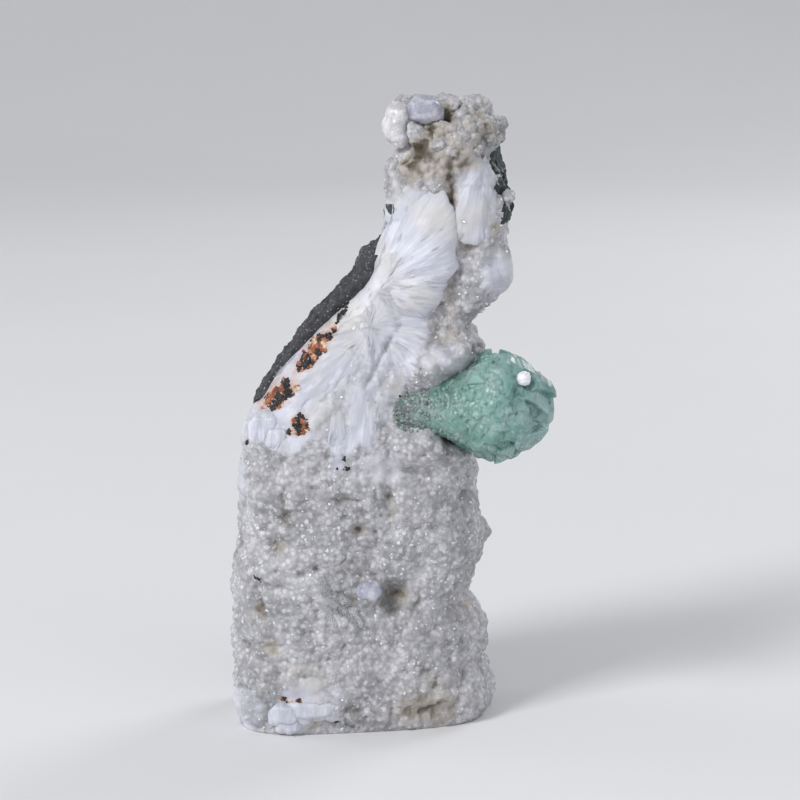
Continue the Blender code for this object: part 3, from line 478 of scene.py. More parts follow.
def relief(points):
    """How far the solid's surface stands out from the smooth rock: lumps, less hollows, plus knobs."""
    x, y, z = points[..., 0], points[..., 1], points[..., 2]
    dark = smooth((y - boundary_y(x, z)) / 2.0 + 0.5)
    strength = (1.0 - (1.0 - SILK_SHARE) * silkiness(points)) * (1.0 - 0.5 * dark)
    out = sum(height * rounded(points, size, seed) for size, height, seed in LUMPS) * strength
    facing = smooth((HOLLOW_SIDE - y) / 5.0)
    for hx, hz, wide, tall, depth in HOLLOWS.values():
        out = out - depth * bell(x, z, hx, hz, wide, tall) * facing
    for *spot, height in KNOBS.values():
        out = out + height * lump(points, *spot)
    return out * smooth(z / FLAT_FOOT)


def outward(grid):
    """Unit normals of a grid that closes on itself in its second direction."""
    up = np.gradient(grid, axis=0)
    along_ring = np.roll(grid, -1, 1) - np.roll(grid, 1, 1)
    return normalised(np.cross(along_ring, up))


class RockGrid:
    """Rings of points round the rock, with their normals: rows go up, columns go round."""

    def __init__(self, low, rows, dome_rows, around, share):
        straight = np.linspace(low, DOME_FROM, rows)
        dome = np.sin(np.linspace(0, math.pi / 2, dome_rows + 1)[1:])
        self.heights = np.concatenate([straight, DOME_FROM + (DOME_TO - DOME_FROM) * dome])
        self.share = share
        turns = np.linspace(0.0, 2 * np.pi, around, endpoint=False)
        self.angles = self.angle_of(turns)
        self.smooth_points = rock_point(self.angles[None, :], self.heights[:, None])
        self.normals = outward(self.smooth_points)

    def angle_of(self, turns):
        """Columns crowd together at the front where share is above 0, and at the back below 0."""
        return turns - self.share * np.cos(turns)

    def front_spot(self, x, z):
        """Row and column in front of each x and height, from the outline's own formula."""
        (mid_x, _), (half_x, _), power, _ = section(z)
        across = np.clip((x - mid_x) / half_x, -0.97, 0.97)
        deep = -((1.0 - np.abs(across) ** power) ** (1.0 / power))
        turns = np.linspace(-np.pi, np.pi, 721)
        turn = np.interp(np.arctan2(deep, across), self.angle_of(turns), turns)
        row = np.interp(z, self.heights, np.arange(len(self.heights)))
        return row, turn % (2 * np.pi) * len(self.angles) / (2 * np.pi)

    def in_front(self, x, z):
        """Surface point and normal in front of each x and height."""
        row, column = self.front_spot(x, z)
        return on_grid(self.points, row, column), on_grid(self.true_normals, row, column)

    def spread(self, spacing, rng):
        """Rows and columns of evenly spaced spots: along each ring and up the rock, with jitter."""
        points = self.smooth_points
        climb = np.linalg.norm(np.diff(points, axis=0), axis=-1).mean(1)
        length = np.concatenate([[0.0], np.cumsum(climb)])
        rows, columns = [], []
        for band in np.arange(spacing / 2, length[-1], spacing * 0.87):
            row = np.interp(band, length, np.arange(len(length)))
            ring = points[int(row)]
            steps = np.linalg.norm(np.roll(ring, -1, 0) - ring, axis=-1)
            arc = np.concatenate([[0.0], np.cumsum(steps)])
            count = max(3, int(arc[-1] / spacing))
            spots = (np.arange(count) + rng.random(count)) * arc[-1] / count
            columns.append(np.interp(spots, arc, np.arange(len(arc))))
            shaky = band + spacing * (rng.random(count) - 0.5)
            rows.append(np.interp(shaky, length, np.arange(len(length))))
        return np.concatenate(rows), np.concatenate(columns)


def on_grid(values, row, column):
    """Values read between a grid's points, which closes on itself in its columns."""
    rows, columns = values.shape[:2]
    r = np.clip(np.floor(row).astype(int), 0, rows - 2)
    c = np.floor(column).astype(int) % columns
    fr, fc = row - r, column - np.floor(column)
    if values.ndim == 3:
        fr, fc = fr[:, None], fc[:, None]
    low = values[r, c] * (1 - fc) + values[r, (c + 1) % columns] * fc
    high = values[r + 1, c] * (1 - fc) + values[r + 1, (c + 1) % columns] * fc
    return low * (1 - fr) + high * fr


# Meshes from arrays


def make_piece(name, points, faces, material, stands_for=(), shade_smooth=True, marks=None):
    """A mesh object in metres from points in millimetres and arrays of faces, riding on the body."""
    mesh = bpy.data.meshes.new(name)
    mesh.vertices.add(len(points))
    placed = (np.asarray(points, float) + SHIFT) * MM
    mesh.vertices.foreach_set("co", placed.astype(np.float32).ravel())
    corners = np.concatenate([f.ravel() for f in faces])
    sizes = np.concatenate([np.full(len(f), f.shape[1]) for f in faces])
    starts = np.concatenate([[0], np.cumsum(sizes)[:-1]])
    mesh.loops.add(len(corners))
    mesh.loops.foreach_set("vertex_index", corners.astype(np.int32))
    mesh.polygons.add(len(sizes))
    mesh.polygons.foreach_set("loop_start", starts.astype(np.int32))
    mesh.polygons.foreach_set("use_smooth", np.full(len(sizes), shade_smooth))
    for label, values in (marks or {}).items():
        kind = "FLOAT_VECTOR" if np.ndim(values) == 2 else "FLOAT"
        field = "vector" if kind == "FLOAT_VECTOR" else "value"
        layer = mesh.attributes.new(label, kind, "POINT")
        layer.data.foreach_set(field, np.asarray(values, np.float32).ravel())
    mesh.update(calc_edges=True)
    mesh.validate()
    mesh.materials.append(material)
    obj = bpy.data.objects.new(name, mesh)
    bpy.context.scene.collection.objects.link(obj)
    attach(obj, BODY)
    if stands_for:
        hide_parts(*stands_for)
    return obj


def closed_rings(grid):
    """Points and faces of rings that close in their columns, with a pole point at either end."""
    rows, columns = grid.shape[:2]
    points = np.concatenate([grid.reshape(-1, 3), grid[:1].mean(1), grid[-1:].mean(1)])
    k = np.arange(columns)
    after = (k + 1) % columns
    base = (np.arange(rows - 1) * columns)[:, None]
    quads = np.stack([base + k, base + after, base + columns + after, base + columns + k], -1)
    foot = np.stack([after, k, np.full(columns, rows * columns)], -1)
    last = (rows - 1) * columns
    head = np.stack([last + k, last + after, np.full(columns, rows * columns + 1)], -1)
    return points, [quads.reshape(-1, 4), np.concatenate([foot, head])]


def joined_rings(grids):
    """Points and faces of several closed ring grids in one mesh."""
    points, quads, caps = [], [], []
    start = 0
    for grid in grids:
        here, faces = closed_rings(grid)
        points.append(here)
        quads.append(faces[0] + start)
        caps.append(faces[1] + start)
        start += len(here)
    return np.concatenate(points), [np.concatenate(quads), np.concatenate(caps)]


def closed_marks(values):
    """A mark's values for closed_rings: the grid's, then one for each pole."""
    return np.concatenate([values.ravel(), values[:1].mean(1), values[-1:].mean(1)])


def ball_grid(centre, radius, rows, columns, stretch=(1, 1, 1)):
    """Rings of a ball from its lower to its upper pole: radius by cosine and sine of latitude."""
    latitude = np.linspace(-np.pi / 2, np.pi / 2, rows + 2)[1:-1, None]
    turn = np.linspace(0, 2 * np.pi, columns, endpoint=False)[None, :]
    unit = np.stack(
        [np.cos(latitude) * np.cos(turn), np.cos(latitude) * np.sin(turn), np.sin(latitude) + 0 * turn], -1
    )
    return np.asarray(centre) + radius * unit * stretch, unit


def axes_along(directions, rng):
    """Right-handed axes for each direction, the third along it, the others at a random roll."""
    third = normalised(directions)
    first = normalised(np.cross(third, rng.normal(size=third.shape)))
    return np.stack([first, np.cross(third, first), third], -1)


def copies(template, faces, places, axes, sizes):
    """Every copy of a small shape: its points times sizes, turned by axes and moved to places."""
    points = np.einsum("nij,nvj->nvi", axes, template[None] * sizes[:, None, :]) + places[:, None, :]
    starts = (np.arange(len(places)) * len(template))[:, None, None]
    return points.reshape(-1, 3), (faces[None] + starts).reshape(-1, faces.shape[1])


def spindle(sides, shoulder=0.0):
    """A bipyramid round Z, or a short prism with two points where shoulder is above 0."""
    turn = np.arange(sides) * 2 * np.pi / sides
    ring = np.stack([np.cos(turn), np.sin(turn), 0 * turn], -1)
    k = np.arange(sides)
    after = (k + 1) % sides
    if shoulder == 0.0:
        points = np.concatenate([ring, [[0, 0, -1]], [[0, 0, 1]]])
        below = np.stack([after, k, 0 * k + sides], -1)
        above = np.stack([k, after, 0 * k + sides + 1], -1)
        return points, np.concatenate([below, above])
    low, high = ring - (0, 0, shoulder), ring + (0, 0, shoulder)
    points = np.concatenate([low, high, [[0, 0, -1]], [[0, 0, 1]]])
    below = np.stack([after, k, 0 * k + 2 * sides], -1)
    lower_half = np.stack([k, after, sides + after], -1)
    side = np.concatenate([lower_half, np.stack([k, sides + after, sides + k], -1)])
    above = np.stack([sides + k, sides + after, 0 * k + 2 * sides + 1], -1)
    return points, np.concatenate([below, side, above])


def ball_template():
    """A ball of twenty triangles: an icosahedron from three golden rectangles."""
    g = (1 + math.sqrt(5)) / 2
    points = np.array(
        [(-1, g, 0), (1, g, 0), (-1, -g, 0), (1, -g, 0), (0, -1, g), (0, 1, g), (0, -1, -g), (0, 1, -g),
         (g, 0, -1), (g, 0, 1), (-g, 0, -1), (-g, 0, 1)], float
    )
    faces = np.array(
        [(0, 11, 5), (0, 5, 1), (0, 1, 7), (0, 7, 10), (0, 10, 11), (1, 5, 9), (5, 11, 4), (11, 10, 2),
         (10, 7, 6), (7, 1, 8), (3, 9, 4), (3, 4, 2), (3, 2, 6), (3, 6, 8), (3, 8, 9), (4, 9, 5),
         (2, 4, 11), (6, 2, 10), (8, 6, 7), (9, 8, 1)]
    )
    return points / math.hypot(1, g), faces


def square_crystal(tip):
    """A square prism from z = 0 to 1 whose point's four faces stand on the prism's edges.

    The corners end at 1 - tip, the middles of the sides at 1 - tip / 2, and the point at 1.
    """
    corner = np.array([(1, 1), (-1, 1), (-1, -1), (1, -1)], float)
    middle = np.array([(0, 1), (-1, 0), (0, -1), (1, 0)], float)
    low = np.c_[corner, np.zeros(4)]
    high = np.c_[corner, np.full(4, 1 - tip)]
    mid = np.c_[middle, np.full(4, 1 - tip / 2)]
    points = np.concatenate([low, high, mid, [[0, 0, 1]]])
    faces = [(3, 2, 1), (3, 1, 0)]
    for k in range(4):
        n = (k + 1) % 4
        faces += [(k, n, 4 + n), (k, 4 + n, 8 + k), (k, 8 + k, 4 + k)]
        before = 8 + (k - 1) % 4
        faces += [(12, before, 4 + k), (12, 4 + k, 8 + k)]
    return points, np.array(faces)


# Materials

DRUSE, SILK = "druzy_milky_quartz", "pearly_stilbite"


def add(tree, kind, sockets=None, **settings):
    """Adds a node, sets its own settings, and sets or links each named or numbered socket."""
    node = tree.nodes.new(kind)
    for key, value in settings.items():
        setattr(node, key, value)
    for key, value in (sockets or {}).items():
        if isinstance(value, bpy.types.NodeSocket):
            tree.links.new(value, node.inputs[key])
        elif isinstance(value, bpy.types.Node):
            tree.links.new(value.outputs[0], node.inputs[key])
        else:
            node.inputs[key].default_value = value
    return node


def per_mm(size):
    """The scale of a pattern whose features are a size in millimetres."""
    return 1.0 / (size * MM)


def cloudy(weight, depth, colours=(1.0, 0.95, 0.9)):
    """Shader settings of a cloudy inside: how far, in metres, light of each colour goes."""
    return {"Subsurface Weight": weight, "Subsurface Scale": depth, "Subsurface Radius": colours}


def new_material(name, settings):
    """A material whose uniform values are on its shader's own sockets, with its tree and the place
    in object coordinates that its patterns read."""
    material = bpy.data.materials.new(name)
    material.use_nodes = True
    tree = material.node_tree
    tree.nodes.clear()
    shader = add(tree, "ShaderNodeBsdfPrincipled", settings)
    add(tree, "ShaderNodeOutputMaterial", {"Surface": shader.outputs[0]})
    return material, tree, add(tree, "ShaderNodeTexCoord").outputs["Object"]


def tinted(tree, colour, tint, value, low=0.0, high=1.0, most=1.0):
    """A colour that turns to another, at most by a share, as a value goes from low to high."""
    share = add(tree, "ShaderNodeMapRange", {0: value, 1: low, 2: high, 3: 0.0, 4: most})
    first, second = (c if isinstance(c, bpy.types.NodeSocket) else (*c, 1.0) for c in (colour, tint))
    return add(tree, "ShaderNodeMix", {0: share, 6: first, 7: second}, data_type="RGBA").outputs[2]


def dressed(material, colour, rough=None, bump=None):
    """The material with its colour, and where they vary its roughness, as a value with its range and
    the roughness at either end of it, and its bump, as height, metres and strength."""
    tree = material.node_tree
    shader = tree.nodes["Principled BSDF"]
    tree.links.new(colour, shader.inputs["Base Color"])
    if rough is not None:
        spread = add(tree, "ShaderNodeMapRange", dict(enumerate(rough)))
        tree.links.new(spread.outputs[0], shader.inputs["Roughness"])
    if bump is not None:
        relief_node = add(tree, "ShaderNodeBump", dict(zip(("Height", "Distance", "Strength"), bump)))
        tree.links.new(relief_node.outputs[0], shader.inputs["Normal"])
    return material


def fibre_noise(tree):
    """Streaks and broader bundles along the fibres, from the place across and along them."""
    place = add(tree, "ShaderNodeAttribute", attribute_name="strand").outputs["Vector"]
    sockets = {"Vector": place, "Scale": 1.3, "Detail": 4.0, "Roughness": 0.6}
    streaks = add(tree, "ShaderNodeTexNoise", sockets)
    bundles = add(tree, "ShaderNodeTexNoise", {"Vector": place, "Scale": 0.3, "Detail": 3.0})
    return streaks, bundles


def silk_colour(tree, place, streaks, bundles, colours):
    """Pearly white with greyer bundles, bright streaks of painted sheen and a creamy tinge here and there."""
    colour = tinted(tree, colours.pearl, colours.shade, bundles, 0.35, 0.65)
    # Painted sheen: the streaks along the fibres turn brighter
    colour = tinted(tree, colour, colours.bright, streaks, 0.5, 0.75, 0.7)
    broad = add(tree, "ShaderNodeTexNoise", {"Vector": place, "Scale": per_mm(11.0), "Detail": 2.0})
    return tinted(tree, colour, colours.cream, broad, 0.45, 0.7, 0.6)


def rock_colour(tree, place, colours):
    """Frosty quartz: paler and greyer clouds, and grains a millimetre wide that differ a little, with painted
    shade greying their borders.
    """
    sockets = {"Vector": place, "Scale": per_mm(12.0), "Detail": 7.0, "Roughness": 0.7}
    clouds = add(tree, "ShaderNodeTexNoise", sockets)
    white = tinted(tree, colours.grey, colours.milky, clouds, 0.4, 0.58)
    spots = add(tree, "ShaderNodeTexVoronoi", {"Vector": place, "Scale": per_mm(1.1)})
    white = tinted(tree, white, colours.frosty, spots.outputs["Color"], 0.45, 1.0, 0.6)
    # Painted shade: the grey darkens each grain's border, away from its middle
    return tinted(tree, white, colours.grey, spots.outputs["Distance"], 0.35, 0.8, 0.6)


def soiled_and_shaded(tree, place, colour, colours):
    """Darker in the clefts, which is painted shade, olive-brown dirt in the cavities, rusty in places, with a
    dark green film.
    """
    sockets = {"Vector": place, "Scale": per_mm(1.5), "Detail": 5.0, "Roughness": 0.65}
    speckle = add(tree, "ShaderNodeTexNoise", sockets)
    cleft, brown, rusty, film = (
        add(tree, "ShaderNodeAttribute", attribute_name=name).outputs["Fac"]
        for name in ("cleft", "brown", "rusty", "film")
    )
    # Painted shade: the clefts darken towards the cleft colour, unevenly with the speckle
    deep = add(tree, "ShaderNodeMath", {0: cleft, 1: speckle}, operation="MULTIPLY")
    colour = tinted(tree, colour, colours.cleft, deep, 0.08, 0.5, 0.9)
    dirt = add(tree, "ShaderNodeMath", {0: brown, 1: speckle}, operation="ADD")
    colour = tinted(tree, colour, colours.tan, dirt, 0.62, 1.1, 0.85)
    # Olive-brown dirt in the cavities: partly real stains, partly the clefts' painted shade
    dirt_and_cleft_shade = add(tree, "ShaderNodeMath", {0: cleft, 1: 0.45, 2: dirt}, operation="MULTIPLY_ADD")
    colour = tinted(tree, colour, colours.dirt, dirt_and_cleft_shade, 1.2, 1.8, 0.9)
    rust = add(tree, "ShaderNodeMath", {0: rusty, 1: speckle}, operation="MULTIPLY")
    colour = tinted(tree, colour, colours.rusty, rust, 0.18, 0.5, 0.85)
    flakes = add(tree, "ShaderNodeTexVoronoi", {"Vector": place, "Scale": per_mm(1.3)}).outputs["Color"]
    flaky = add(tree, "ShaderNodeMath", {0: flakes, 1: 0.45, 2: film}, operation="MULTIPLY_ADD")
    return tinted(tree, colour, colours.film, flaky, 0.66, 0.7)


def druse_material(specimen):
    """Milky quartz grown as a sugary crust, turning to silky stilbite: soft and frosty, with glints."""
    material, tree, place = new_material(DRUSE, {"IOR": 1.544, **cloudy(0.4, 0.0014)})
    silky = add(tree, "ShaderNodeAttribute", attribute_name="silky").outputs["Fac"]
    streaks, bundles = fibre_noise(tree)
    silk = silk_colour(tree, place, streaks, bundles, specimen.silk)
    colour = tinted(tree, rock_colour(tree, place, specimen.druse), silk, silky)
    colour = soiled_and_shaded(tree, place, colour, specimen.druse)
    domes = add(tree, "ShaderNodeTexVoronoi", {"Vector": place, "Scale": per_mm(0.9)}, feature="SMOOTH_F1")
    sockets = {"Vector": place, "Scale": per_mm(0.5), "Detail": 3.0, "Roughness": 0.6}
    fine = add(tree, "ShaderNodeTexNoise", sockets)
    sugar = add(tree, "ShaderNodeMath", {0: fine, 1: domes}, operation="SUBTRACT")
    height = add(tree, "ShaderNodeMix", {0: silky, 2: sugar, 3: streaks}, data_type="FLOAT")
    return dressed(material, colour, (fine, 0.35, 0.65, 0.38, 0.6), (height, 0.00035, 0.6))


def grain_material(settings):
    """The same quartz in single crystals: clearer, and glossy enough to glint."""
    material, tree, place = new_material("quartz_points", {"IOR": 1.544})
    tone = add(tree, "ShaderNodeAttribute", attribute_name="tone").outputs["Fac"]
    colour = tinted(tree, rock_colour(tree, place, settings), settings.frosty, tone)
    return dressed(material, soiled_and_shaded(tree, place, colour, settings), (tone, 0.0, 1.0, 0.6, 0.1))


def silk_material(settings):
    """Stilbite in sheaves of thin blades: pearly, with fine streaks along the fibres."""
    sheen = {"Sheen Weight": 0.2, "Sheen Roughness": 0.4}
    material, tree, place = new_material(SILK, {"IOR": 1.5, **sheen, **cloudy(0.4, 0.0016)})
    streaks, bundles = fibre_noise(tree)
    colour = silk_colour(tree, place, streaks, bundles, settings)
    return dressed(material, colour, (streaks, 0.3, 0.7, 0.45, 0.25), (streaks, 0.00025, 0.45))


def basalt_material(settings):
    """Basalt, broken: charcoal and dull, with feldspar specks, and waxy green celadonite higher up."""
    material, tree, place = new_material("broken_basalt", {"IOR": 1.6})
    clouds = add(tree, "ShaderNodeTexNoise", {"Vector": place, "Scale": per_mm(2.2), "Detail": 5.0})
    colour = tinted(tree, settings.dark, settings.charcoal, clouds, 0.35, 0.65)
    green = add(tree, "ShaderNodeAttribute", attribute_name="green").outputs["Fac"]
    colour = tinted(tree, colour, settings.celadonite, green)
    specks = add(tree, "ShaderNodeTexVoronoi", {"Vector": place, "Scale": per_mm(0.8)})
    spread = {0: specks.outputs["Color"], 1: 0.25, 2: 0.9, 3: 0.0, 4: 0.36}
    size = add(tree, "ShaderNodeMapRange", spread)
    inside = add(tree, "ShaderNodeMath", {0: specks, 1: size}, operation="LESS_THAN")
    colour = tinted(tree, colour, settings.speck, inside)
    sockets = {"Vector": place, "Scale": per_mm(0.6), "Detail": 4.0, "Roughness": 0.7}
    grit = add(tree, "ShaderNodeTexNoise", sockets)
    return dressed(material, colour, (grit, 0.3, 0.7, 0.55, 0.85), (grit, 0.0004, 0.8))


def apophyllite_material(settings):
    """Green apophyllite: half clear, so that light goes deep, with glassy faces and milky veils."""
    clear = {"Transmission Weight": 0.35, **cloudy(0.7, 0.003, (0.6, 1.0, 0.9))}
    material, tree, place = new_material("green_apophyllite", {"IOR": 1.535, **clear})
    sockets = {"Vector": place, "Scale": per_mm(5.0), "Detail": 5.0, "Distortion": 0.8}
    veils = add(tree, "ShaderNodeTexNoise", sockets)
    sockets = {"Vector": place, "Scale": per_mm(0.9), "Detail": 4.0, "Roughness": 0.7}
    flecks = add(tree, "ShaderNodeTexNoise", sockets)
    far, edge, grainy = (
        add(tree, "ShaderNodeAttribute", attribute_name=name).outputs["Fac"]
        for name in ("along", "edge", "grainy")
    )
    colour = tinted(tree, settings.mint, settings.teal, far)
    # Deeper green by the upper left edge, and painted shade on the underside
    colour = tinted(tree, colour, settings.deep, edge)
    colour = tinted(tree, colour, settings.veil, veils, 0.42, 0.66, 0.6)
    colour = tinted(tree, colour, settings.deep, veils, 0.46, 0.3, 0.35)
    pale = add(tree, "ShaderNodeMath", {0: grainy, 1: 0.1, 2: flecks}, operation="MULTIPLY_ADD")
    colour = tinted(tree, colour, settings.veil, pale, 0.6, 0.72, 0.7)
    return dressed(material, colour, (veils, 0.3, 0.7, 0.12, 0.3), (flecks, 0.00025, 0.5))


def smooth_quartz_material(name, colour, veil, clear, size):
    """Smooth quartz or zeolite: a glassy skin over a milky, cloudy inside."""
    inside = {"Transmission Weight": clear, **cloudy(0.5, 0.002)}
    material, tree, place = new_material(name, {"IOR": 1.544, **inside})
    sockets = {"Vector": place, "Scale": per_mm(size), "Detail": 4.0, "Distortion": 0.4}
    clouds = add(tree, "ShaderNodeTexNoise", sockets)
    colour = tinted(tree, colour, veil, clouds, 0.4, 0.62)
    fine = add(tree, "ShaderNodeTexNoise", {"Vector": place, "Scale": per_mm(size / 6), "Detail": 3.0})
    return dressed(material, colour, (fine, 0.3, 0.7, 0.2, 0.42), (fine, 0.0002, 0.2))


def rust_material(settings):
    """Weathered iron minerals in single grains: terracotta, orange, cream and near black."""
    material, tree, place = new_material("rusty_grains", {"IOR": 1.6, "Roughness": 0.55})
    tone = add(tree, "ShaderNodeAttribute", attribute_name="tone").outputs["Fac"]
    colour = tinted(tree, settings.black, settings.terracotta, tone, 0.38, 0.42)
    colour = tinted(tree, colour, settings.orange, tone, 0.55, 0.66)
    colour = tinted(tree, colour, settings.cream, tone, 0.72, 0.76)
    grit = add(tree, "ShaderNodeTexNoise", {"Vector": place, "Scale": per_mm(0.5), "Detail": 3.0})
    return dressed(material, tinted(tree, colour, settings.black, grit, 0.5, 0.8, 0.6))


def floor_material(settings):
    """Matt painted board: pale, with a faint unevenness."""
    material, tree, place = new_material("painted_board", {"Roughness": 0.7})
    clouds = add(tree, "ShaderNodeTexNoise", {"Vector": place, "Scale": 6.0, "Detail": 3.0})
    shade = tuple(0.96 * c for c in settings.floor)
    return dressed(material, tinted(tree, shade, settings.floor, clouds))


# Settings that a user would change


def hue(name, description, code):
    """A colour setting, from its hex value."""
    return bpy.props.FloatVectorProperty(
        name=name, description=description, subtype="COLOR", size=3, min=0.0, max=1.0, default=linear(code)
    )


def length(name, description, millimetres):
    """A size setting, from its millimetres."""
    default = millimetres * MM
    return bpy.props.FloatProperty(name=name, description=description, unit="LENGTH", default=default)


class DruseSettings(bpy.types.PropertyGroup):
    """Sizes and colours of the white, druzy rock"""

    grain: length("Grain", "Distance between the small crystals", 1.05)
    milky: hue("Milky", "Main colour of the druse", "#c1c0c5")
    # The grey is also the painted shade at the borders between grains
    grey: hue("Grey", "Colour of its greyer clouds", "#919194")
    frosty: hue("Frosty", "Colour of the brightest grains", "#efeff4")
    # The cleft colour is painted shade, laid in the low places between lumps and grains
    cleft: hue("Cleft", "Colour in the clefts between lumps", "#6c675b")
    tan: hue("Tan", "Colour of the beige tinge", "#aea69c")
    # The dirt colour also carries part of the clefts' painted shade
    dirt: hue("Dirt", "Colour of the dirt in the cavities", "#4d4434")
    film: hue("Film", "Colour of the dark green film", "#122624")
    rusty: hue("Rusty", "Colour of the rock that rust has tinged", "#c08f70")


class SilkSettings(bpy.types.PropertyGroup):
    """Sizes and colours of the silky fans"""

    fibre: length("Fibre", "Width of a bundle of fibres", 1.2)
    pearl: hue("Pearl", "Main colour", "#d3d4df")
    shade: hue("Shade", "Colour of the greyer bundles", "#b9bcca")
    # The bright colour is painted sheen along the fibres
    bright: hue("Bright", "Colour of the brightest streaks", "#f0f0f7")
    cream: hue("Cream", "Colour of the creamier places", "#d4d1ca")


class BasaltSettings(bpy.types.PropertyGroup):
    """Colours of the dark host rock"""

    dark: hue("Dark", "Darkest colour", "#1f2023")
    charcoal: hue("Charcoal", "Colour of its lighter places", "#404147")
    celadonite: hue("Celadonite", "Colour of the green film near the top", "#14302d")
    speck: hue("Speck", "Colour of the pale specks", "#8f8f95")


class ClusterSettings(bpy.types.PropertyGroup):
    """Sizes and colours of the green crystals"""

    width: length("Crystal width", "Width of a large crystal", 6.4)
    mint: hue("Mint", "Colour near the root", "#9dc8bb")
    teal: hue("Teal", "Colour at the points", "#84acab")
    deep: hue("Deep", "Colour of the deepest green", "#578c7d")
    veil: hue("Veil", "Colour of the milky veils", "#c0d6d4")


class GrainSettings(bpy.types.PropertyGroup):
    """Colours of the rusty and black grains"""

    terracotta: hue("Terracotta", "Main colour of the rusty grains", "#96502f")
    orange: hue("Orange", "Colour of the brightest of them", "#c08052")
    cream: hue("Cream", "Colour of the palest of them", "#dccbb5")
    black: hue("Black", "Colour of the dark grains", "#191718")


class TopSettings(bpy.types.PropertyGroup):
    """Colours of the smooth crystals"""

    lavender: hue("Lavender", "Colour of the smooth crystal at the top", "#a9aabb")
    lavender_veil: hue("Lavender veil", "Colour of its clouds", "#d6d7e2")
    pale: hue("Pale", "Colour of the lobe and the ball", "#c9c7c8")
    pale_veil: hue("Pale veil", "Colour of their clouds", "#ecebef")
    glass: hue("Glass", "Colour of the clear blades", "#f6f6fb")
    white: hue("White", "Colour of the white ball's clouds", "#e2e4f0")


class StageSettings(bpy.types.PropertyGroup):
    """The floor, the light and the camera"""

    floor: hue("Floor", "Colour of the floor", "#e6e6e8")
    distance: length("Distance", "From the camera to the specimen", 700.0)
    elevation: bpy.props.FloatProperty(
        name="Elevation", description="How far the camera looks down", unit="ROTATION",
        default=math.radians(10.0),
    )
    view: length("View", "Width of the view at the specimen", 200.0)


class SpecimenSettings(bpy.types.PropertyGroup):
    """All settings of the specimen"""

    druse: bpy.props.PointerProperty(type=DruseSettings)
    silk: bpy.props.PointerProperty(type=SilkSettings)
    basalt: bpy.props.PointerProperty(type=BasaltSettings)
    cluster: bpy.props.PointerProperty(type=ClusterSettings)
    grains: bpy.props.PointerProperty(type=GrainSettings)
    top: bpy.props.PointerProperty(type=TopSettings)
    stage: bpy.props.PointerProperty(type=StageSettings)


# The white rock


def stains(points):
    """How brown each point is: the sum of bell-shaped spots on the front, made uneven by soft noise."""
    x, y, z = points[..., 0] + 3.0 * drift(points, 2.6, 341), points[..., 1], points[..., 2]
    z = z + 3.0 * drift(points, 2.6, 342)
    facing = smooth((1.0 - y) / 6.0)
    total = 0.0 * x
    for *spot, strength in BROWN_STAINS:
        total = total + strength * bell(x, z, *spot)
    return total * facing * (1.0 + 1.2 * drift(points, 1.4, 343))


def strands(points):
    """Millimetres across the fibres, and a seventh of those along them, about the nearest centre."""
    x, z = points[..., 0], points[..., 2]
    shaky_x, shaky_z = x + 4.0 * drift(points, 6.0, 311), z + 4.0 * drift(points, 6.0, 312)
    pick = np.where(shaky_z > 107.5 - 0.45 * shaky_x, 0, 1)
    pick = np.where((shaky_x - along(LEFT_EDGE, z) < 6.5) & (shaky_z > 100.0), 2, pick)
    pick = np.where((shaky_x > 13.5) & (z > 117.0), 3, pick)
    dx, dz = x - FAN_CENTRES[pick, 0], z - FAN_CENTRES[pick, 1]
    turn = np.arctan2(dx + dz, dx - dz)
    return np.stack([14.0 * turn, 0.14 * np.hypot(dx, dz), 7.0 * pick], -1)


def ribs(points):
    """Creases and ribs of the silky front: bell-shaped across the lines in the table."""
    x, z = points[..., 0], points[..., 2]
    out = 0.0 * x
    for x0, z0, x1, z1, width, height in RIBS:
        run_x, run_z = x1 - x0, z1 - z0
        t = np.clip(((x - x0) * run_x + (z - z0) * run_z) / (run_x**2 + run_z**2), 0, 1)
        away = (x - x0 - t * run_x) ** 2 + (z - z0 - t * run_z) ** 2
        out = out + height * np.exp(-away / width**2)
    return out * smooth((2.0 - points[..., 1]) / 5.0)


def rust_halo(points):
    """A tinge of rust round the patches of rusty grains: bell-shaped about each patch's long axis."""
    x, z = points[..., 0], points[..., 2]
    halo = 0.0 * x
    for sx, sz, long, wide, degrees, _ in RUST_SPOTS[:3]:
        c, s = turned(degrees)
        a, b = (x - sx) * c + (z - sz) * s, (z - sz) * c - (x - sx) * s
        halo = np.maximum(halo, np.exp(-((a / long) ** 2 + (b / wide) ** 2) / 1.5))
    return halo * smooth((-4.0 - points[..., 1]) / 4.0)


def film_spots(points):
    """How much dark film is on each point: the strongest of a few bell-shaped spots."""
    x, y, z = points[..., 0], points[..., 1], points[..., 2]
    return np.max([bell(x, z, *spot) for spot in FILM_SPOTS], axis=0) * smooth((9.0 - y) / 4.0)


def inside_smooth_pieces(points):
    """1 where the smooth crystals at the top sit, falling to 0 around them."""
    total = 0.0 * points[..., 0]
    for centre, half in SMOOTH_PIECES.values():
        away = np.linalg.norm((points - np.array(centre)) / np.array(half), axis=-1)
        total = np.maximum(total, smooth((1.3 - away) / 0.35))
    return total


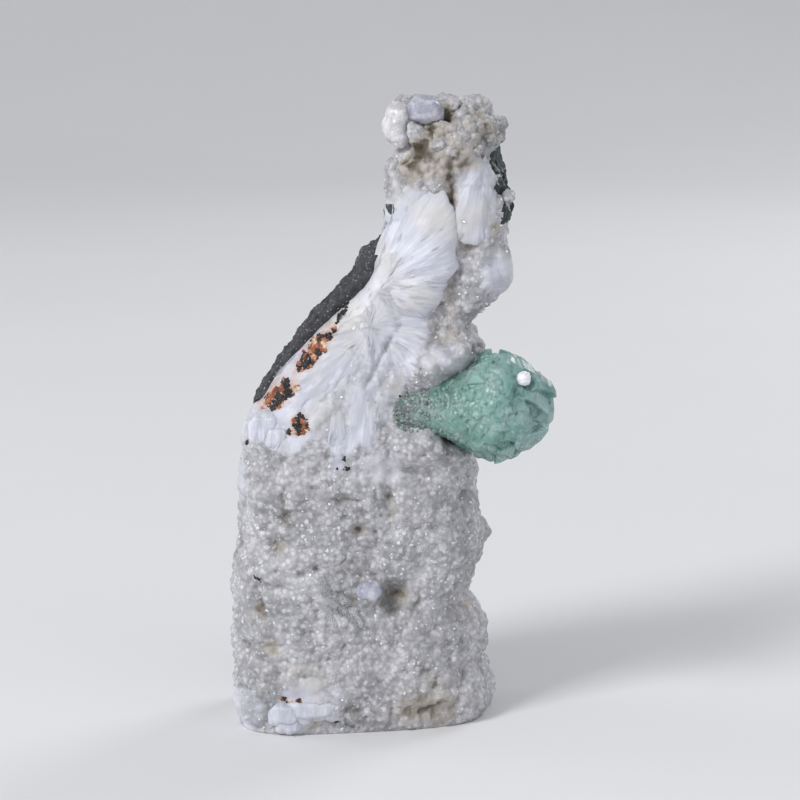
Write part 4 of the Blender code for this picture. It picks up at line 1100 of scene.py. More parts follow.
def make_druse_grid():
    """The white rock's fine surface, with the marks that its material reads."""
    grid = RockGrid(low=0.0, rows=400, dome_rows=34, around=230, share=0.6)
    base = grid.smooth_points
    x, y, z = base[..., 0], base[..., 1], base[..., 2]
    warp = np.stack([drift(base, 7.0, 321), 0 * x, drift(base, 6.0, 322)], -1)
    warp = warp + 0.4 * np.stack([drift(base, 2.5, 323), 0 * x, drift(base, 2.5, 324)], -1)
    silky = silkiness(base + warp * (6.0, 0.0, 14.0))
    for sx, sz, wide, tall in SILKY_SPOTS:
        away = np.hypot((x + 3 * warp[..., 0] - sx) / wide, (z + 5 * warp[..., 2] - sz) / tall)
        silky = np.maximum(silky, 0.8 * smooth((1.15 - away) / 0.5) * smooth((-1.0 - y) / 4.0))
    silky = silky * (1.0 - 0.5 * smooth((drift(base, 7.0, 361) + 0.02) / 0.25) * smooth((99.0 - z) / 10.0))
    boundary = ragged_boundary(base)
    edge = boundary + 0.3 + 2.4 * drift(base, 2.6, 301) + 1.6 * drift(base, 0.9, 302)
    cover = smooth((edge - y) / 1.1 + 0.5)
    coarse = relief(base)
    fine = sum(height * (rounded(base, size, seed) + 0.25) for size, height, seed in FINE_LUMPS)
    near_dark = smooth((boundary + 1.0 - y) / 6.0)
    crown = smooth((z - 134.0) / 6.0) * (1.0 - silky)
    fine = fine * (1.0 + 0.35 * crown) * (1.0 - (1.0 - FINE_SILK_SHARE) * silky)
    fine = fine * smooth(z / 1.2) * (0.12 + 0.88 * near_dark)
    strand = strands(base)
    fibres = 0.5 * drift(strand, 2.6, 331) + 0.25 * drift(strand, 1.2, 332)
    fibres = fibres * smooth(strand[..., 1] / 1.6)
    for *spot, height in SMALL_LUMPS:
        coarse = coarse + height * lump(base, *spot)
    crease = ribs(base)
    smooth_piece = inside_smooth_pieces(base)
    woven = (1.1 * fibres * near_dark + crease) * silky
    out = coarse + fine + woven + crease * (1 - silky) - 1.8 * smooth_piece
    grid.points = base + grid.normals * (out - TUCK * (1.0 - cover))[..., None]
    swell = 0.0 * x
    for bx, bz, radius, height in BULGES:
        swell = np.maximum(swell, height * bell(x, z, bx, bz, radius, radius))
    grid.points[..., 1] -= swell * smooth((-3.0 - y) / 5.0)
    grid.points[0, :, 2] = 0.0
    grid.cover = cover * (1.0 - smooth_piece)
    grid.silky = silky
    # Painted shade: the colour darkens in the low places between lumps and between fine grains, less on the
    # silk
    grid.cleft = smooth(-(coarse + 1.1) / 2.6) * 0.5 + smooth(-(fine + 0.05) / 0.9) * (0.9 - 0.7 * silky)
    # Painted shade along the creases too
    grid.cleft = grid.cleft + smooth(-crease / 1.2) * 0.5
    # A corner of the foot darkened in patches with the same painted shade colour
    dim = bell(x, z, *DIM_SPOT) * smooth((2.0 - y) / 6.0)
    grid.cleft = grid.cleft + 1.2 * dim * smooth((drift(base, 1.5, 371) + 0.02) / 0.14)
    grid.brown = stains(base)
    grid.film = film_spots(base)
    grid.rusty = rust_halo(base)
    grid.strand = strand
    grid.true_normals = outward(grid.points)
    return grid


def druse_grid():
    """The white rock's surface, worked out once."""
    if "grid" not in WORK:
        WORK["grid"] = make_druse_grid()
    return WORK["grid"]


class SPECIMEN_OT_druse(bpy.types.Operator):
    """Builds the white rock's surface: the outline's formula, lumps, hollows, knobs and fine grain"""

    bl_idname = "specimen.druse"
    bl_label = "White druzy rock"

    def execute(self, context):
        grid = druse_grid()
        points, faces = closed_rings(grid.points)
        names = ("silky", "cleft", "brown", "film", "rusty")
        marks = {name: closed_marks(getattr(grid, name)) for name in names}
        marks["strand"] = np.stack([closed_marks(grid.strand[..., k]) for k in range(3)], -1)
        material = druse_material(context.scene.specimen)
        make_piece(
            "druse_rock", points, faces, material, ("quartz_druse_matrix",), marks=marks
        )
        return {"FINISHED"}


class SPECIMEN_OT_quartz_grains(bpy.types.Operator):
    """Scatters the small quartz crystals: rounded sugar grains, and six-sided points among them"""

    bl_idname = "specimen.quartz_grains"
    bl_label = "Quartz grains"

    def execute(self, context):
        grid = druse_grid()
        settings = context.scene.specimen.druse
        material = grain_material(settings)
        rng = np.random.default_rng(7)
        spacing = settings.grain / MM
        row, column = grid.spread(spacing, rng)
        silky, cover, film = (on_grid(v, row, column) for v in (grid.silky, grid.cover, grid.film))
        place = on_grid(grid.points, row, column)
        normal = on_grid(grid.true_normals, row, column)
        free = np.linalg.norm(place - (ROOT + 9 * AXIS), axis=-1) > 5.0
        chance = rng.random(len(row))
        dense = smooth((drift(place, 6.0, 352) + 0.25) / 0.5)
        rim = (cover > 0.25) & (cover < 0.9) & (chance < 0.45)
        keep = (cover > 0.8) & (chance > 0.99 * silky) & (chance < 0.2 + 0.5 * dense + 0.6 * silky)
        keep = (keep | rim) & (row > 2) & (film < 0.3) & free
        row, column, place, normal = (a[keep] for a in (row, column, place, normal))
        glitter = drift(place, 4.0, 351) + 0.5 > 0.62
        pointed = rng.random(len(row)) < np.where(glitter, 0.55, 0.2)
        crumb, crumb_faces = ball_template()
        point, point_faces = spindle(6)
        lean = normal + 0.5 * rng.normal(size=normal.shape)
        radius = spacing * (0.25 + 0.4 * rng.random(len(row)) ** 3)
        tone = np.where(pointed, 0.5 + 0.5 * rng.random(len(row)), 0.22 * rng.random(len(row)))
        cleft, brown = on_grid(grid.cleft, row, column), on_grid(grid.brown, row, column)
        for name, chosen, template, faces, parts, soft, squash in (
            ("sugar_grains", ~pointed, crumb, crumb_faces, 3, True, 0.75),
            ("quartz_points", pointed, point, point_faces, 1, False, 1.35),
        ):
            spots = np.flatnonzero(chosen)
            for k, here in enumerate(np.array_split(spots, parts)):
                size = np.stack([radius[here], radius[here], squash * radius[here]], -1)
                axes = axes_along(lean[here], rng)
                sunk = place[here] - 0.5 * normal[here] * radius[here, None]
                points, tris = copies(template, faces, sunk, axes, size)
                # Each grain takes the painted cleft shade of the rock it sits on
                marks = {"tone": tone[here], "cleft": 0.8 * cleft[here], "brown": brown[here]}
                marks.update(dict.fromkeys(("film", "rusty"), 0 * tone[here]))
                marks = {key: np.repeat(values, len(template)) for key, values in marks.items()}
                make_piece(
                    f"{name}_{k + 1}", points, [tris], material,
                    shade_smooth=soft, marks=marks,
                )
        return {"FINISHED"}


class SPECIMEN_OT_druse_balls(bpy.types.Operator):
    """Builds the round lumps of druse at the top: balls roughened by cells one millimetre wide"""

    bl_idname = "specimen.druse_balls"
    bl_label = "Druse balls"

    def execute(self, context):
        grids = []
        for *centre, radius in DRUSE_BALLS:
            grid, unit = ball_grid(centre, radius, 36, 56)
            bumps = sum(height * rounded(grid, size, seed) for size, height, seed in BALL_LUMPS) + 0.2
            grids.append(grid + unit * bumps[..., None])
        points, faces = joined_rings(grids)
        marks = dict.fromkeys(("silky", "cleft", "film", "rusty"), 0 * points[:, 0])
        marks["brown"] = 0.5 * stains(points)
        material = bpy.data.materials.get(DRUSE) or druse_material(context.scene.specimen)
        make_piece("druse_balls", points, faces, material, marks=marks)
        return {"FINISHED"}


class SPECIMEN_OT_dark_grains(bpy.types.Operator):
    """Scatters the rusty and the black grains in ragged patches on the front"""

    bl_idname = "specimen.dark_grains"
    bl_label = "Rusty and black grains"

    def execute(self, context):
        grid = druse_grid()
        rng = np.random.default_rng(19)
        xs, zs, tones = [], [], []
        for spots, low, high, ragged in ((RUST_SPOTS, 0.0, 1.0, 1.0), (BLACK_SPOTS, 0.0, 0.0, 0.3)):
            for x, z, long, wide, degrees, count in spots:
                turn, away = rng.random(2 * count) * 2 * np.pi, np.sqrt(rng.random(2 * count))
                c, s = turned(degrees)
                a, b = long * away * np.cos(turn), wide * away * np.sin(turn)
                px, pz = x + a * c - b * s, z + a * s + b * c
                flat = np.stack([px, 0 * px, pz], -1)
                holes = drift(flat, 1.7, 78) + 0.5 * drift(flat, 0.8, 79)
                keep = away < 0.78 + ragged * 0.9 * holes
                clumps = drift(flat, 1.25, 77) + 0.25 * drift(flat, 0.6, 80) - 0.25 * (1 - away)
                xs.append(px[keep])
                zs.append(pz[keep])
                tones.append(((clumps + 0.55) * (high - low) + low)[keep])
        x, z, tone = (np.concatenate(v) for v in (xs, zs, tones))
        place, normal = grid.in_front(x, z)
        axes = axes_along(normal + 0.5 * rng.normal(size=normal.shape), rng)
        radius = 0.26 + 0.3 * rng.random(len(x)) ** 2
        sizes = np.stack([radius, radius * (0.7 + 0.3 * rng.random(len(x))), radius * 0.6], -1)
        template, faces = spindle(6, 0.45)
        points, tris = copies(template, faces, place - normal * 0.05, axes, sizes)
        make_piece(
            "rusty_grains", points, [tris], rust_material(context.scene.specimen.grains),
            shade_smooth=False, marks={"tone": np.repeat(tone, len(template))},
        )
        return {"FINISHED"}


# The dark rock


class SPECIMEN_OT_basalt(bpy.types.Operator):
    """Builds the dark rock: the outline's formula with broken facets, its hidden front drawn in"""

    bl_idname = "specimen.basalt"
    bl_label = "Dark host rock"

    def execute(self, context):
        grid = RockGrid(low=4.0, rows=420, dome_rows=6, around=320, share=-0.3)
        base = grid.smooth_points
        x, y, z = base[..., 0], base[..., 1], base[..., 2]
        hidden = smooth((ragged_boundary(base) - 1.9 - y) / 1.0 + 0.5)
        hidden[-1] = 1.0
        broken = 1.4 * drift(base, 9.0, 200) * smooth((y + 6.0) / 4.0) + 1.2 * drift(base, 4.2, 201)
        broken = broken + 0.5 * rounded(base, 2.0, 202) + 0.9 * drift(base, 1.0, 203) - 0.2
        slope = sum(out * np.exp(-(((z - mid) / tall) ** 2)) for mid, tall, out in SLANT_SWELLS)
        slope = slope * smooth((along(LEFT_EDGE, z) + 12.0 - x) / 8.0)
        shown = base + grid.normals * (relief(base) + broken + 0.75 + slope)[..., None]
        (mid_x, mid_y), _, _, _ = section(z)
        middle = np.stack([mid_x, mid_y, z], -1)
        high = smooth((z - 126.0) / 16.0)
        core = middle + (base - middle) * (CORE_SHARE - 0.4 * high)[..., None]
        core[..., 2] = core[..., 2] - np.maximum(z - 146.0, 0.0)
        points, faces = closed_rings(shown + (core - shown) * hidden[..., None])
        uneven = 16 * drift(base, 8.0, 88) + 6 * drift(base, 2.5, 89)
        marks = {"green": closed_marks(smooth((z - 121.0 + uneven) / 6.0))}
        material = basalt_material(context.scene.specimen.basalt)
        make_piece("basalt_rock", points, faces, material, ("basalt_host_rock",), marks=marks)
        return {"FINISHED"}


# The silky fans


def fan_surface(name, fibre):
    """A lens over polar coordinates: it swells towards its rounded rim, its sides dip under the
    rock, and noise that is short across and long along gives it fibres."""
    (cx, cz), outline, (swell, sink, shown, ribbed, rim) = PATCHES[name]
    first, last = outline[0][0], outline[-1][0]
    widest = max(reach for _, reach in outline)
    columns = int(math.radians(last - first) * widest * FAN_POINTS[0])
    rows = int(widest * FAN_POINTS[1])
    degrees = np.linspace(first, last, columns)[None, :]
    ring = np.linspace(0.0, 1.0, rows)[:, None]
    arc = np.radians(degrees) * widest
    strand = np.stack([arc + 0 * ring, ring * widest * 0.14 + 0 * arc, 30.0 + 0 * ring + 0 * arc], -1)
    frayed = drift(strand[-1], 1.3 * fibre, 21) * 0.05 + drift(strand[-1], 4.5 * fibre, 22) * 0.12
    rho = ring * along(outline, degrees) * (1.0 + frayed[None, :])
    x = cx + rho * np.cos(np.radians(degrees))
    z = cz + rho * np.sin(np.radians(degrees))
    part = (degrees - first) / (last - first)
    across = smooth(np.minimum(part * 4.0, (1 - part) * 2.2))
    lift = smooth(ring * 1.3) * np.sqrt(np.clip(1 - ring**rim, 0, 1)) * across
    sheets = drift(strand, 4.2 * fibre, 23)
    ridges = ribbed * (0.5 * drift(strand, 1.6 * fibre, 24) + 0.25 * drift(strand, 0.7 * fibre, 25))
    rock = front_y(x, z) + EDGE_DIP
    front = np.stack([x, rock, z], -1)
    uneven = 0.5 * drift(front, 5.0, 26) + 0.25 * drift(front, 2.2, 27)
    out = (swell * shown + EDGE_DIP) * lift * (1.0 + 0.12 * sheets)
    out = out + (ridges + uneven) * np.minimum(1.0, 2.0 * lift)
    upper = np.stack([x, rock - PATCH_OUT - out, z], -1)
    under = np.stack([x, rock - PATCH_OUT + 0.3 + sink * lift, z], -1)
    return upper, under, strand


def blocks(name, material):
    """Blunt, flat-faced blocks of silky blades that sink into the rock: faceted ellipsoids with noise."""
    grids = []
    for x, z, depth, *half in BLOCKS[name]:
        centre = np.array((x, float(front_y(x, z)) + depth, z))
        grid, unit = ball_grid(centre, 1.0, 44, 70)
        mirror = (1.0 if x > -25 else -1.0, 1.0, 1.0)
        grid = centre + unit * faceted(unit * mirror, CRYSTAL_FACES, 15.0)[..., None] * half
        strand = np.stack([grid[..., 0], 0.14 * grid[..., 2], grid[..., 1]], -1)
        bumps = 0.5 * drift(grid, 2.6, 731) + 0.35 * drift(strand, 1.1, 732) + 0.12 * drift(grid, 0.8, 733)
        grid = grid + unit * bumps[..., None]
        grid[..., 2] = np.maximum(grid[..., 2], 0.15)
        grids.append(grid)
    points, faces = joined_rings(grids)
    marks = {"strand": np.stack([1.6 * points[:, 0], 0.3 * points[:, 2], 0 * points[:, 0] + 50], -1)}
    make_piece(name + "_silk", points, faces, material, (name,), marks=marks)


def closed_lens(upper, under):
    """Points and faces of two sheets, back to back, joined by a rim of quads."""
    rows, columns = upper.shape[:2]
    size = rows * columns
    points = np.concatenate([upper.reshape(-1, 3), under.reshape(-1, 3)])
    a = (np.arange(rows - 1)[:, None] * columns + np.arange(columns - 1)).ravel()
    top = np.stack([a, a + columns, a + columns + 1, a + 1], -1)
    rim = np.concatenate([
        np.arange(rows) * columns,
        size - columns + np.arange(1, columns),
        np.arange(rows - 2, -1, -1) * columns + columns - 1,
    ])
    side = np.stack([rim[:-1], rim[1:], size + rim[1:], size + rim[:-1]], -1)
    return points, [top, size + top[:, ::-1], side[:, ::-1]]


def lay_blades(places, normals, headings, rng):
    """Thin, flat, four-sided blades that lie on a surface and point along the fibres."""
    count = len(places)
    normals = normalised(normals)
    third = normalised(headings - normals * (headings * normals).sum(-1, keepdims=True))
    third = normalised(third + 0.1 * rng.normal(size=(count, 3)))
    first = normalised(np.cross(normals, third))
    axes = np.stack([first, np.cross(third, first), third], -1)
    wide = 0.16 + 0.4 * rng.random(count) ** 2
    long = 1.2 + 3.2 * rng.random(count) ** 2
    template, faces = spindle(4)
    return copies(template, faces, places, axes, np.stack([wide, 0.18 * wide, long], -1))


class SPECIMEN_OT_fibre_blades(bpy.types.Operator):
    """Lays single bright blades of stilbite along the fibres of the silky front and of its fans"""

    bl_idname = "specimen.fibre_blades"
    bl_label = "Single blades"

    def execute(self, context):
        grid = druse_grid()
        rng = np.random.default_rng(31)
        x, z = rng.uniform(*SINGLE_X, SINGLE_BLADES), rng.uniform(*SINGLE_Z, SINGLE_BLADES)
        row, column = grid.front_spot(x, z)
        place, normal = on_grid(grid.points, row, column), on_grid(grid.true_normals, row, column)
        silky, cover = on_grid(grid.silky, row, column), on_grid(grid.cover, row, column)
        keep = (silky > 0.6) & (cover > 0.95) & (rng.random(len(x)) < 0.3 + drift(place, 7.0, 361))
        place, normal = place[keep], normal[keep]
        pick = np.round(strands(place)[:, 2] / 7.0).astype(int)
        away = place - np.stack([FAN_CENTRES[pick, 0], place[:, 1], FAN_CENTRES[pick, 1]], -1)
        points, tris = lay_blades(place - 0.05 * normal, normal, away, rng)
        all_points, all_tris = [points], [tris]
        settings = context.scene.specimen.silk
        for name in PATCHES:
            upper, _, _ = fan_surface(name, settings.fibre / MM)
            rows, columns = upper.shape[:2]
            count = rows * columns // 400
            i, j = rng.integers(rows // 5, rows - 3, count), rng.integers(3, columns - 3, count)
            along_fibre, across = upper[i + 1, j] - upper[i - 1, j], upper[i, j + 1] - upper[i, j - 1]
            points, tris = lay_blades(upper[i, j], np.cross(across, along_fibre), along_fibre, rng)
            all_tris.append(tris + sum(len(p) for p in all_points))
            all_points.append(points)
        points = np.concatenate(all_points)
        marks = {"strand": np.stack([40 + points[:, 0], points[:, 2], 0 * points[:, 0]], -1)}
        material = bpy.data.materials.get(SILK) or silk_material(settings)
        make_piece(
            "stilbite_blades", points, [np.concatenate(all_tris)], material,
            shade_smooth=False, marks=marks,
        )
        return {"FINISHED"}


class SPECIMEN_OT_silky_fans(bpy.types.Operator):
    """Builds the silky fans, the sheaf, the curtain and the blocks of blades"""

    bl_idname = "specimen.silky_fans"
    bl_label = "Silky fans"

    def execute(self, context):
        settings = context.scene.specimen.silk
        material = silk_material(settings)
        for name in PATCHES:
            upper, under, strand = fan_surface(name, settings.fibre / MM)
            points, faces = closed_lens(upper, under)
            flat = strand.reshape(-1, 3)
            marks = {"strand": np.concatenate([flat, flat])}
            make_piece(name + "_silk", points, faces, material, (name,), marks=marks)
        for name in BLOCKS:
            blocks(name, material)
        return {"FINISHED"}


# The green cluster


def faceted(rays, faces, power):
    """Reach along rays from the middle of a body with flat faces; a higher power sharpens its edges."""
    table = np.array(faces)
    nearness = np.clip(rays @ normalised(table[:, :3]).T, 0, None) / table[:, 3]
    return (nearness**power).sum(-1) ** (-1.0 / power)


def point_heights(near, normals, seat, axis, side, half, shown):
    """How far each near point rises, along its own normal, to the faces of one square crystal.

    The crystal's sides show a little, and its four low faces end in a cut point: the height over its
    seat is the sides' share plus the slope times the distance in from the nearest side.
    """
    other = np.cross(axis, side)
    away = near - seat
    inward = half - np.maximum(np.abs(away @ side), np.abs(away @ other))
    height = shown + np.minimum(TIP_SLOPE * inward, 0.62 * TIP_SLOPE * half)
    rise = (height - away @ axis) / np.maximum(normals @ axis, 0.3)
    return np.where(inward > 0, np.minimum(rise, half), 0.0)


def cluster_grid(scale, rng):
    """Points of the cluster: a smooth barrel, and at each point the highest of the crystals that
    stand on it, so that the crystals grow into one another."""
    rows, columns = BARREL_GRID
    knots = np.array(BARREL)
    bend = np.degrees(np.arctan2(knots[:, 1], knots[:, 0]))
    length = np.concatenate([[0.0], np.cumsum(np.hypot(*np.diff(knots, axis=0).T))])
    fine = np.linspace(0, length[-1], 3000)
    profile = np.stack([np.interp(fine, length, knots[:, k]) for k in (0, 1)], -1)
    for _ in range(60):
        profile[1:-1] = (profile[:-2] + profile[2:] + 2 * profile[1:-1]) / 4
    pace = fine / length[-1] + 0.5 * np.interp(fine, length, bend) / 180.0
    spots = np.interp(np.linspace(0, pace[-1], rows + 2)[1:-1], pace, np.arange(3000))
    ahead = np.interp(spots, np.arange(3000), profile[:, 0])
    out = np.interp(spots, np.arange(3000), profile[:, 1])
    side = np.cross((0.0, 0.0, 1.0), AXIS)
    up = np.cross(AXIS, side)
    turn = np.linspace(0, 2 * np.pi, columns, endpoint=False)
    ring = side * np.cos(turn)[:, None] + up * np.sin(turn)[:, None]
    grid = AXIS * ahead[:, None, None] + ring[None] * out[:, None, None]
    normals = outward(grid)
    normals = normals * np.sign((normals * ring[None]).sum(-1).mean())
    points, flat = grid.reshape(-1, 3), normals.reshape(-1, 3)
    area = np.repeat(out, columns)
    rise = (0.3 * rounded(points, 2.6, 501) + 0.2 * rounded(points, 1.2, 502) + 0.2) * smooth(area / 3.0)
    far = points @ AXIS
    reach = np.linalg.norm(points, axis=1)
    for count, half, shown, least, most in CRYSTALS:
        chance = area * ((reach > least) & (far < most))
        seats = rng.choice(len(points), count, p=chance / chance.sum())
        axes = axes_along(flat[seats] + 0.16 * rng.normal(size=(count, 3)), rng)
        halves = half * scale * (0.7 + 0.6 * rng.random(count))
        for seat, frame_axes, size in zip(seats, axes, halves):
            near = np.flatnonzero(((points - points[seat]) ** 2).sum(-1) < (1.9 * size) ** 2)
            found = point_heights(
                points[near], flat[near], points[seat], frame_axes[:, 2], frame_axes[:, 0], size, shown
            )
            rise[near] = np.maximum(rise[near], found)
    return ROOT + grid + normals * rise.reshape(rows, columns, 1)


def cluster_marks(points):
    """How far along the barrel each point is, how near its upper left edge, which turns deeper green, and how
    low on its underside, which gets painted shade.
    """
    away = points - ROOT
    far = away @ AXIS
    return {
        "along": smooth((far - 12.0) / 20.0),
        # edge: deeper green by the upper left edge near the root, plus painted shade on the underside
        "edge": 0.9 * smooth((away[:, 2] - 0.12 * far + 2.0) / 6.0) * smooth((19.0 - far) / 12.0)
        + 0.55 * smooth((-2.0 - away[:, 2]) / 9.0) * smooth((far - 8.0) / 6.0),
        "grainy": smooth((far - 17.0) / 10.0) * smooth((6.0 - away[:, 2]) / 8.0),
    }


class SPECIMEN_OT_green_cluster(bpy.types.Operator):
    """Builds the green cluster: square crystals on a barrel, and small ones where it leaves the rock"""

    bl_idname = "specimen.green_cluster"
    bl_label = "Green apophyllite"

    def execute(self, context):
        settings = context.scene.specimen.cluster
        rng = np.random.default_rng(3)
        material = apophyllite_material(settings)
        cluster = cluster_grid(settings.width / (LARGE_CRYSTAL * MM), rng)
        WORK["cluster"] = cluster.reshape(-1, 3)
        points, faces = closed_rings(cluster)
        make_piece(
            "apophyllite_crystals", points, [f[:, ::-1] for f in faces], material,
            ("green_apophyllite_cluster",), shade_smooth=False, marks=cluster_marks(points),
        )
        grid = druse_grid()
        turn, away = rng.random(ROOT_COUNT) * 2 * np.pi, rng.random(ROOT_COUNT) ** 0.7
        x, z, wide, tall = ROOT_SPOT
        place, normal = grid.in_front(x + wide * away * np.cos(turn), z + tall * away * np.sin(turn))
        skin, skin_normal = cluster[:, :-1], outward(cluster)[:, :-1]
        far = (skin - ROOT) @ AXIS
        close = far < 4.0 + 13.0 * rng.random(far.shape) ** 1.6
        spots = np.argwhere((skin[..., 1] < ROOT[1] - 0.5) & close)
        spots = spots[rng.integers(0, len(spots), STEM_COUNT)]
        sign = np.sign((skin_normal[200, 70] * (skin[200, 70] - ROOT)).sum())
        place = np.concatenate([place, skin[spots[:, 0], spots[:, 1]]])
        normal = np.concatenate([normal, sign * skin_normal[spots[:, 0], spots[:, 1]]])
        count = len(place)
        axes = axes_along(normal + 0.7 * rng.normal(size=normal.shape), rng)
        half = 0.2 + 0.3 * rng.random(count) ** 2
        template, tris = square_crystal(0.45)
        sizes = np.stack([half, half, half * (1.6 + rng.random(count))], -1)
        points, tris = copies(template, tris, place - 0.5 * normal * half[:, None], axes, sizes)
        marks = cluster_marks(points)
        marks["edge"] = 0.25 + 0 * marks["edge"]
        marks["grainy"] = 1.5 + 0 * marks["edge"]
        make_piece(
            "apophyllite_root_crystals", points, [tris], material, shade_smooth=False,
            marks=marks,
        )
        return {"FINISHED"}


class SPECIMEN_OT_white_ball(bpy.types.Operator):
    """Builds the small white ball on the cluster: a ball of fine needles' ends"""

    bl_idname = "specimen.white_ball"
    bl_label = "White ball"

    def execute(self, context):
        if "cluster" not in WORK:
            bpy.ops.specimen.green_cluster()
        surface = WORK["cluster"]
        near = np.hypot(surface[:, 0] - BALL_SPOT[0], surface[:, 2] - BALL_SPOT[1]) < 1.0
        centre = np.array((BALL_SPOT[0], surface[near, 1].min() - 0.5, BALL_SPOT[1]))
        grid, unit = ball_grid(centre, BALL_RADIUS, 40, 60)
        grid = grid + unit * (0.45 * rounded(grid, 1.1, 601) + 0.2 * rounded(grid, 0.5, 602))[..., None]
        points, faces = closed_rings(grid)
        colours = context.scene.specimen.top
        white = smooth_quartz_material("white_zeolite", colours.glass, colours.white, 0.05, 1.5)
        make_piece("white_ball", points, faces, white, ("white_ball_on_cluster",))
        return {"FINISHED"}


# The smooth pieces


class SPECIMEN_OT_smooth_pieces(bpy.types.Operator):
    """Builds the lavender crystal, the pale lobe and the clear blades with their dome"""

    bl_idname = "specimen.smooth_pieces"
    bl_label = "Smooth crystals"

    def execute(self, context):
        colours = context.scene.specimen.top
        lavender = smooth_quartz_material(
            "lavender_quartz", colours.lavender, colours.lavender_veil, 0.15, 3.0
        )
        pale = smooth_quartz_material("pale_chalcedony", colours.pale, colours.pale_veil, 0.15, 2.5)
        glass = smooth_quartz_material("clear_zeolite_blades", colours.glass, colours.pale_veil, 0.65, 2.0)
        centre, half = SMOOTH_PIECES["lavender_quartz_top"]
        grid, unit = ball_grid(centre, 1.0, 64, 110)
        reach = faceted(unit, CRYSTAL_FACES, 13.0)
        grid = np.array(centre) + unit * reach[..., None] * half
        grid = grid + unit * (0.3 * drift(grid, 2.5, 701) + 0.1 * drift(grid, 0.7, 702))[..., None]
        points, faces = closed_rings(grid)
        make_piece("lavender_crystal", points, faces, lavender, ("lavender_quartz_top",))
        centre, half = SMOOTH_PIECES["pale_lobe_top"]
        grid, unit = ball_grid(centre, 1.0, 64, 96, half)
        lower = smooth((centre[2] - 1.5 - grid[..., 2]) / 2.0)
        bumps = 0.8 * rounded(grid, 3.8, 711) + 0.4 * lower * rounded(grid, 1.1, 712) + 0.4
        points, faces = closed_rings(grid + unit * bumps[..., None])
        make_piece("pale_lobe", points, faces, pale, ("pale_lobe_top",))
        self.blades(glass, lavender)
        return {"FINISHED"}

    def blades(self, glass, grey):
        """Nearly parallel glassy blades that lie on the front, and the dome at their upper right."""
        grid = druse_grid()
        rng = np.random.default_rng(29)
        count = BLADES_COUNT
        across, along_blade = 2.1 * rng.normal(size=count), 2.2 * rng.normal(size=count)
        lean = np.radians(BLADES_SLOPE + 9 * rng.normal(size=count) + 3.0 * across)
        c, s = turned(BLADES_SLOPE)
        x = np.clip(BLADES_MIDDLE[0] + along_blade * c - across * s, -17.0, -7.0)
        z = np.clip(BLADES_MIDDLE[1] + along_blade * s + across * c, 29.5, 39.5)
        places, normal = grid.in_front(x, z)
        heading = np.stack([np.cos(lean), 0.1 * rng.normal(size=count), np.sin(lean)], -1)
        heading = normalised(heading)
        first = normalised(np.cross(normal + 0.35 * rng.normal(size=normal.shape), heading))
        axes = np.stack([first, np.cross(heading, first), heading], -1)
        sizes = np.stack(
            [0.7 + 0.9 * rng.random(count), 0.4 + 0.25 * rng.random(count), 1.8 + 2.4 * rng.random(count)], -1
        )
        template, faces = spindle(6, 0.8)
        points, tris = copies(template, faces, places - 0.2 * normal, axes, sizes)
        make_piece(
            "clear_blades", points, [tris], glass, ("clear_blades_front",), shade_smooth=False
        )
        (spot,), _ = grid.in_front(*np.array(DOME_SPOT)[:, None])
        centre = spot + (0.0, 1.6, 0.0)
        dome, unit = ball_grid(centre, 1.0, 40, 60, (3.3, 2.7, 2.9))
        bumps = 0.5 * rounded(dome, 2.6, 721) + 0.15 * drift(dome, 0.9, 722) + 0.2
        points, faces = closed_rings(dome + unit * bumps[..., None])
        make_piece("grey_dome", points, faces, grey)


# The stage


def soft_light(name, place, size, power):
    """A square area light that shines on the specimen."""
    data = bpy.data.lights.new(name, "AREA")
    data.size = size
    data.energy = power
    lamp = bpy.data.objects.new(name, data)
    lamp.location = place
    lamp.rotation_euler = (Vector(LIGHT_TARGET) - Vector(place)).to_track_quat("-Z", "Y").to_euler()
    bpy.context.scene.collection.objects.link(lamp)


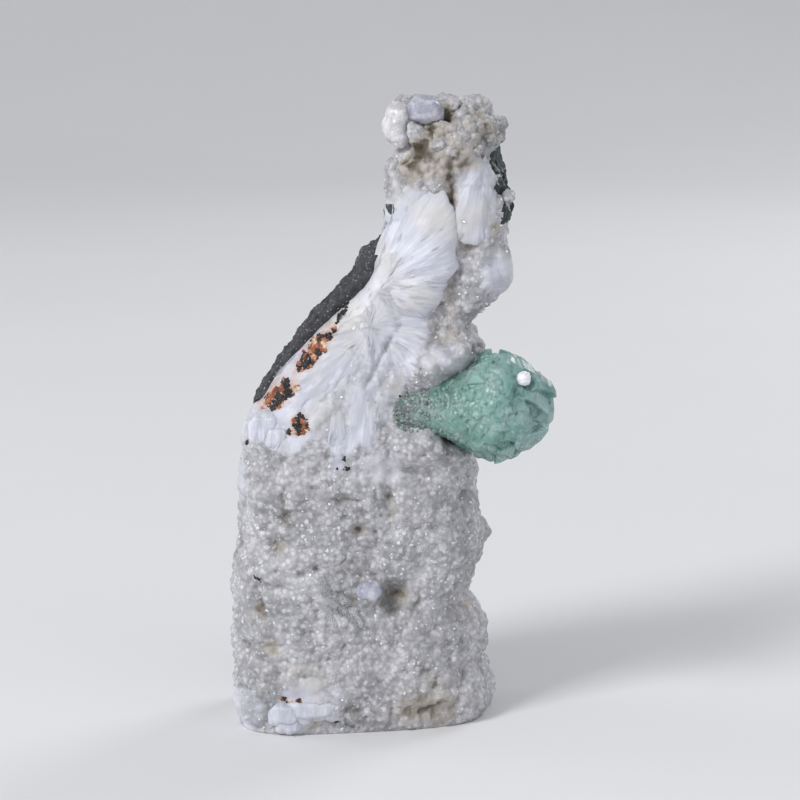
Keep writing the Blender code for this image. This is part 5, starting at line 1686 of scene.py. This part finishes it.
class SPECIMEN_OT_stage(bpy.types.Operator):
    """Builds the floor, which curves up far away all round, the soft lights and the camera"""

    bl_idname = "specimen.stage"
    bl_label = "Floor, light and camera"

    def execute(self, context):
        settings = context.scene.specimen.stage
        t = np.linspace(0, 1, 40)
        flat = np.linspace(0.0, FLOOR_FLAT, 12)[1:-1]
        radius = np.concatenate([flat, FLOOR_FLAT + FLOOR_CURVE * np.sin(t * np.pi / 2)])
        height = np.concatenate([0 * flat, FLOOR_RISE * (1 - np.cos(t * np.pi / 2))])
        turn = np.linspace(0, 2 * np.pi, 96, endpoint=False)
        grid = np.stack(
            [radius[:, None] * np.cos(turn), radius[:, None] * np.sin(turn), height[:, None] + 0 * turn], -1
        )
        mesh = bpy.data.meshes.new("floor")
        points, faces = closed_rings(grid)
        tris = faces[1][: len(turn)]
        mesh.from_pydata(points[:-1].tolist(), [], faces[0].tolist() + tris.tolist())
        mesh.flip_normals()
        mesh.polygons.foreach_set("use_smooth", np.ones(len(mesh.polygons), bool))
        mesh.materials.append(floor_material(settings))
        floor = bpy.data.objects.new("floor", mesh)
        context.scene.collection.objects.link(floor)
        for light in LIGHTS:
            soft_light(*light)
        world = bpy.data.worlds.new("pale_room")
        world.use_nodes = True
        background = world.node_tree.nodes["Background"]
        background.inputs["Color"].default_value = (*ROOM_COLOUR, 1.0)
        background.inputs["Strength"].default_value = ROOM_LIGHT
        context.scene.world = world
        context.scene.view_settings.view_transform = "Standard"
        self.camera(context, settings)
        return {"FINISHED"}

    def camera(self, context, settings):
        """The photo's view: level with the front, looking down a little."""
        data = bpy.data.cameras.new("camera")
        data.sensor_width = 36.0
        data.lens = data.sensor_width * settings.distance / settings.view
        data.clip_start, data.clip_end = 0.01, 20.0
        camera = bpy.data.objects.new("camera", data)
        target = Vector(CAMERA_TARGET)
        back = Vector((0.0, -math.cos(settings.elevation), math.sin(settings.elevation)))
        camera.location = target + back * settings.distance
        camera.rotation_euler = (-back).to_track_quat("-Z", "Y").to_euler()
        context.scene.collection.objects.link(camera)
        context.scene.camera = camera


class SPECIMEN_PT_panel(bpy.types.Panel):
    """Lists the specimen's operators and settings"""

    bl_idname = "SPECIMEN_PT_panel"
    bl_label = "Apophyllite specimen"
    bl_space_type = "VIEW_3D"
    bl_region_type = "UI"
    bl_category = "Specimen"

    def draw(self, context):
        for operator in OPERATORS:
            self.layout.operator(operator.bl_idname)
        settings = context.scene.specimen
        for group_name in SpecimenSettings.__annotations__:
            box = self.layout.box()
            group = getattr(settings, group_name)
            for name in type(group).__annotations__:
                box.prop(group, name)


OPERATORS = (
    SPECIMEN_OT_druse,
    SPECIMEN_OT_quartz_grains,
    SPECIMEN_OT_druse_balls,
    SPECIMEN_OT_dark_grains,
    SPECIMEN_OT_basalt,
    SPECIMEN_OT_silky_fans,
    SPECIMEN_OT_fibre_blades,
    SPECIMEN_OT_smooth_pieces,
    SPECIMEN_OT_green_cluster,
    SPECIMEN_OT_white_ball,
    SPECIMEN_OT_stage,
)
GROUPS = (
    DruseSettings, SilkSettings, BasaltSettings, ClusterSettings, GrainSettings, TopSettings, StageSettings,
    SpecimenSettings,
)


def register():
    for kind in (*GROUPS, *OPERATORS, SPECIMEN_PT_panel):
        bpy.utils.register_class(kind)
    bpy.types.Scene.specimen = bpy.props.PointerProperty(type=SpecimenSettings)


def unregister():
    del bpy.types.Scene.specimen
    for kind in (SPECIMEN_PT_panel, *OPERATORS[::-1], *GROUPS[::-1]):
        bpy.utils.unregister_class(kind)


def main():
    """Builds every piece in order."""
    register()
    for operator in OPERATORS:
        group, name = operator.bl_idname.split(".")
        getattr(getattr(bpy.ops, group), name)()


if __name__ == "__main__":
    main()
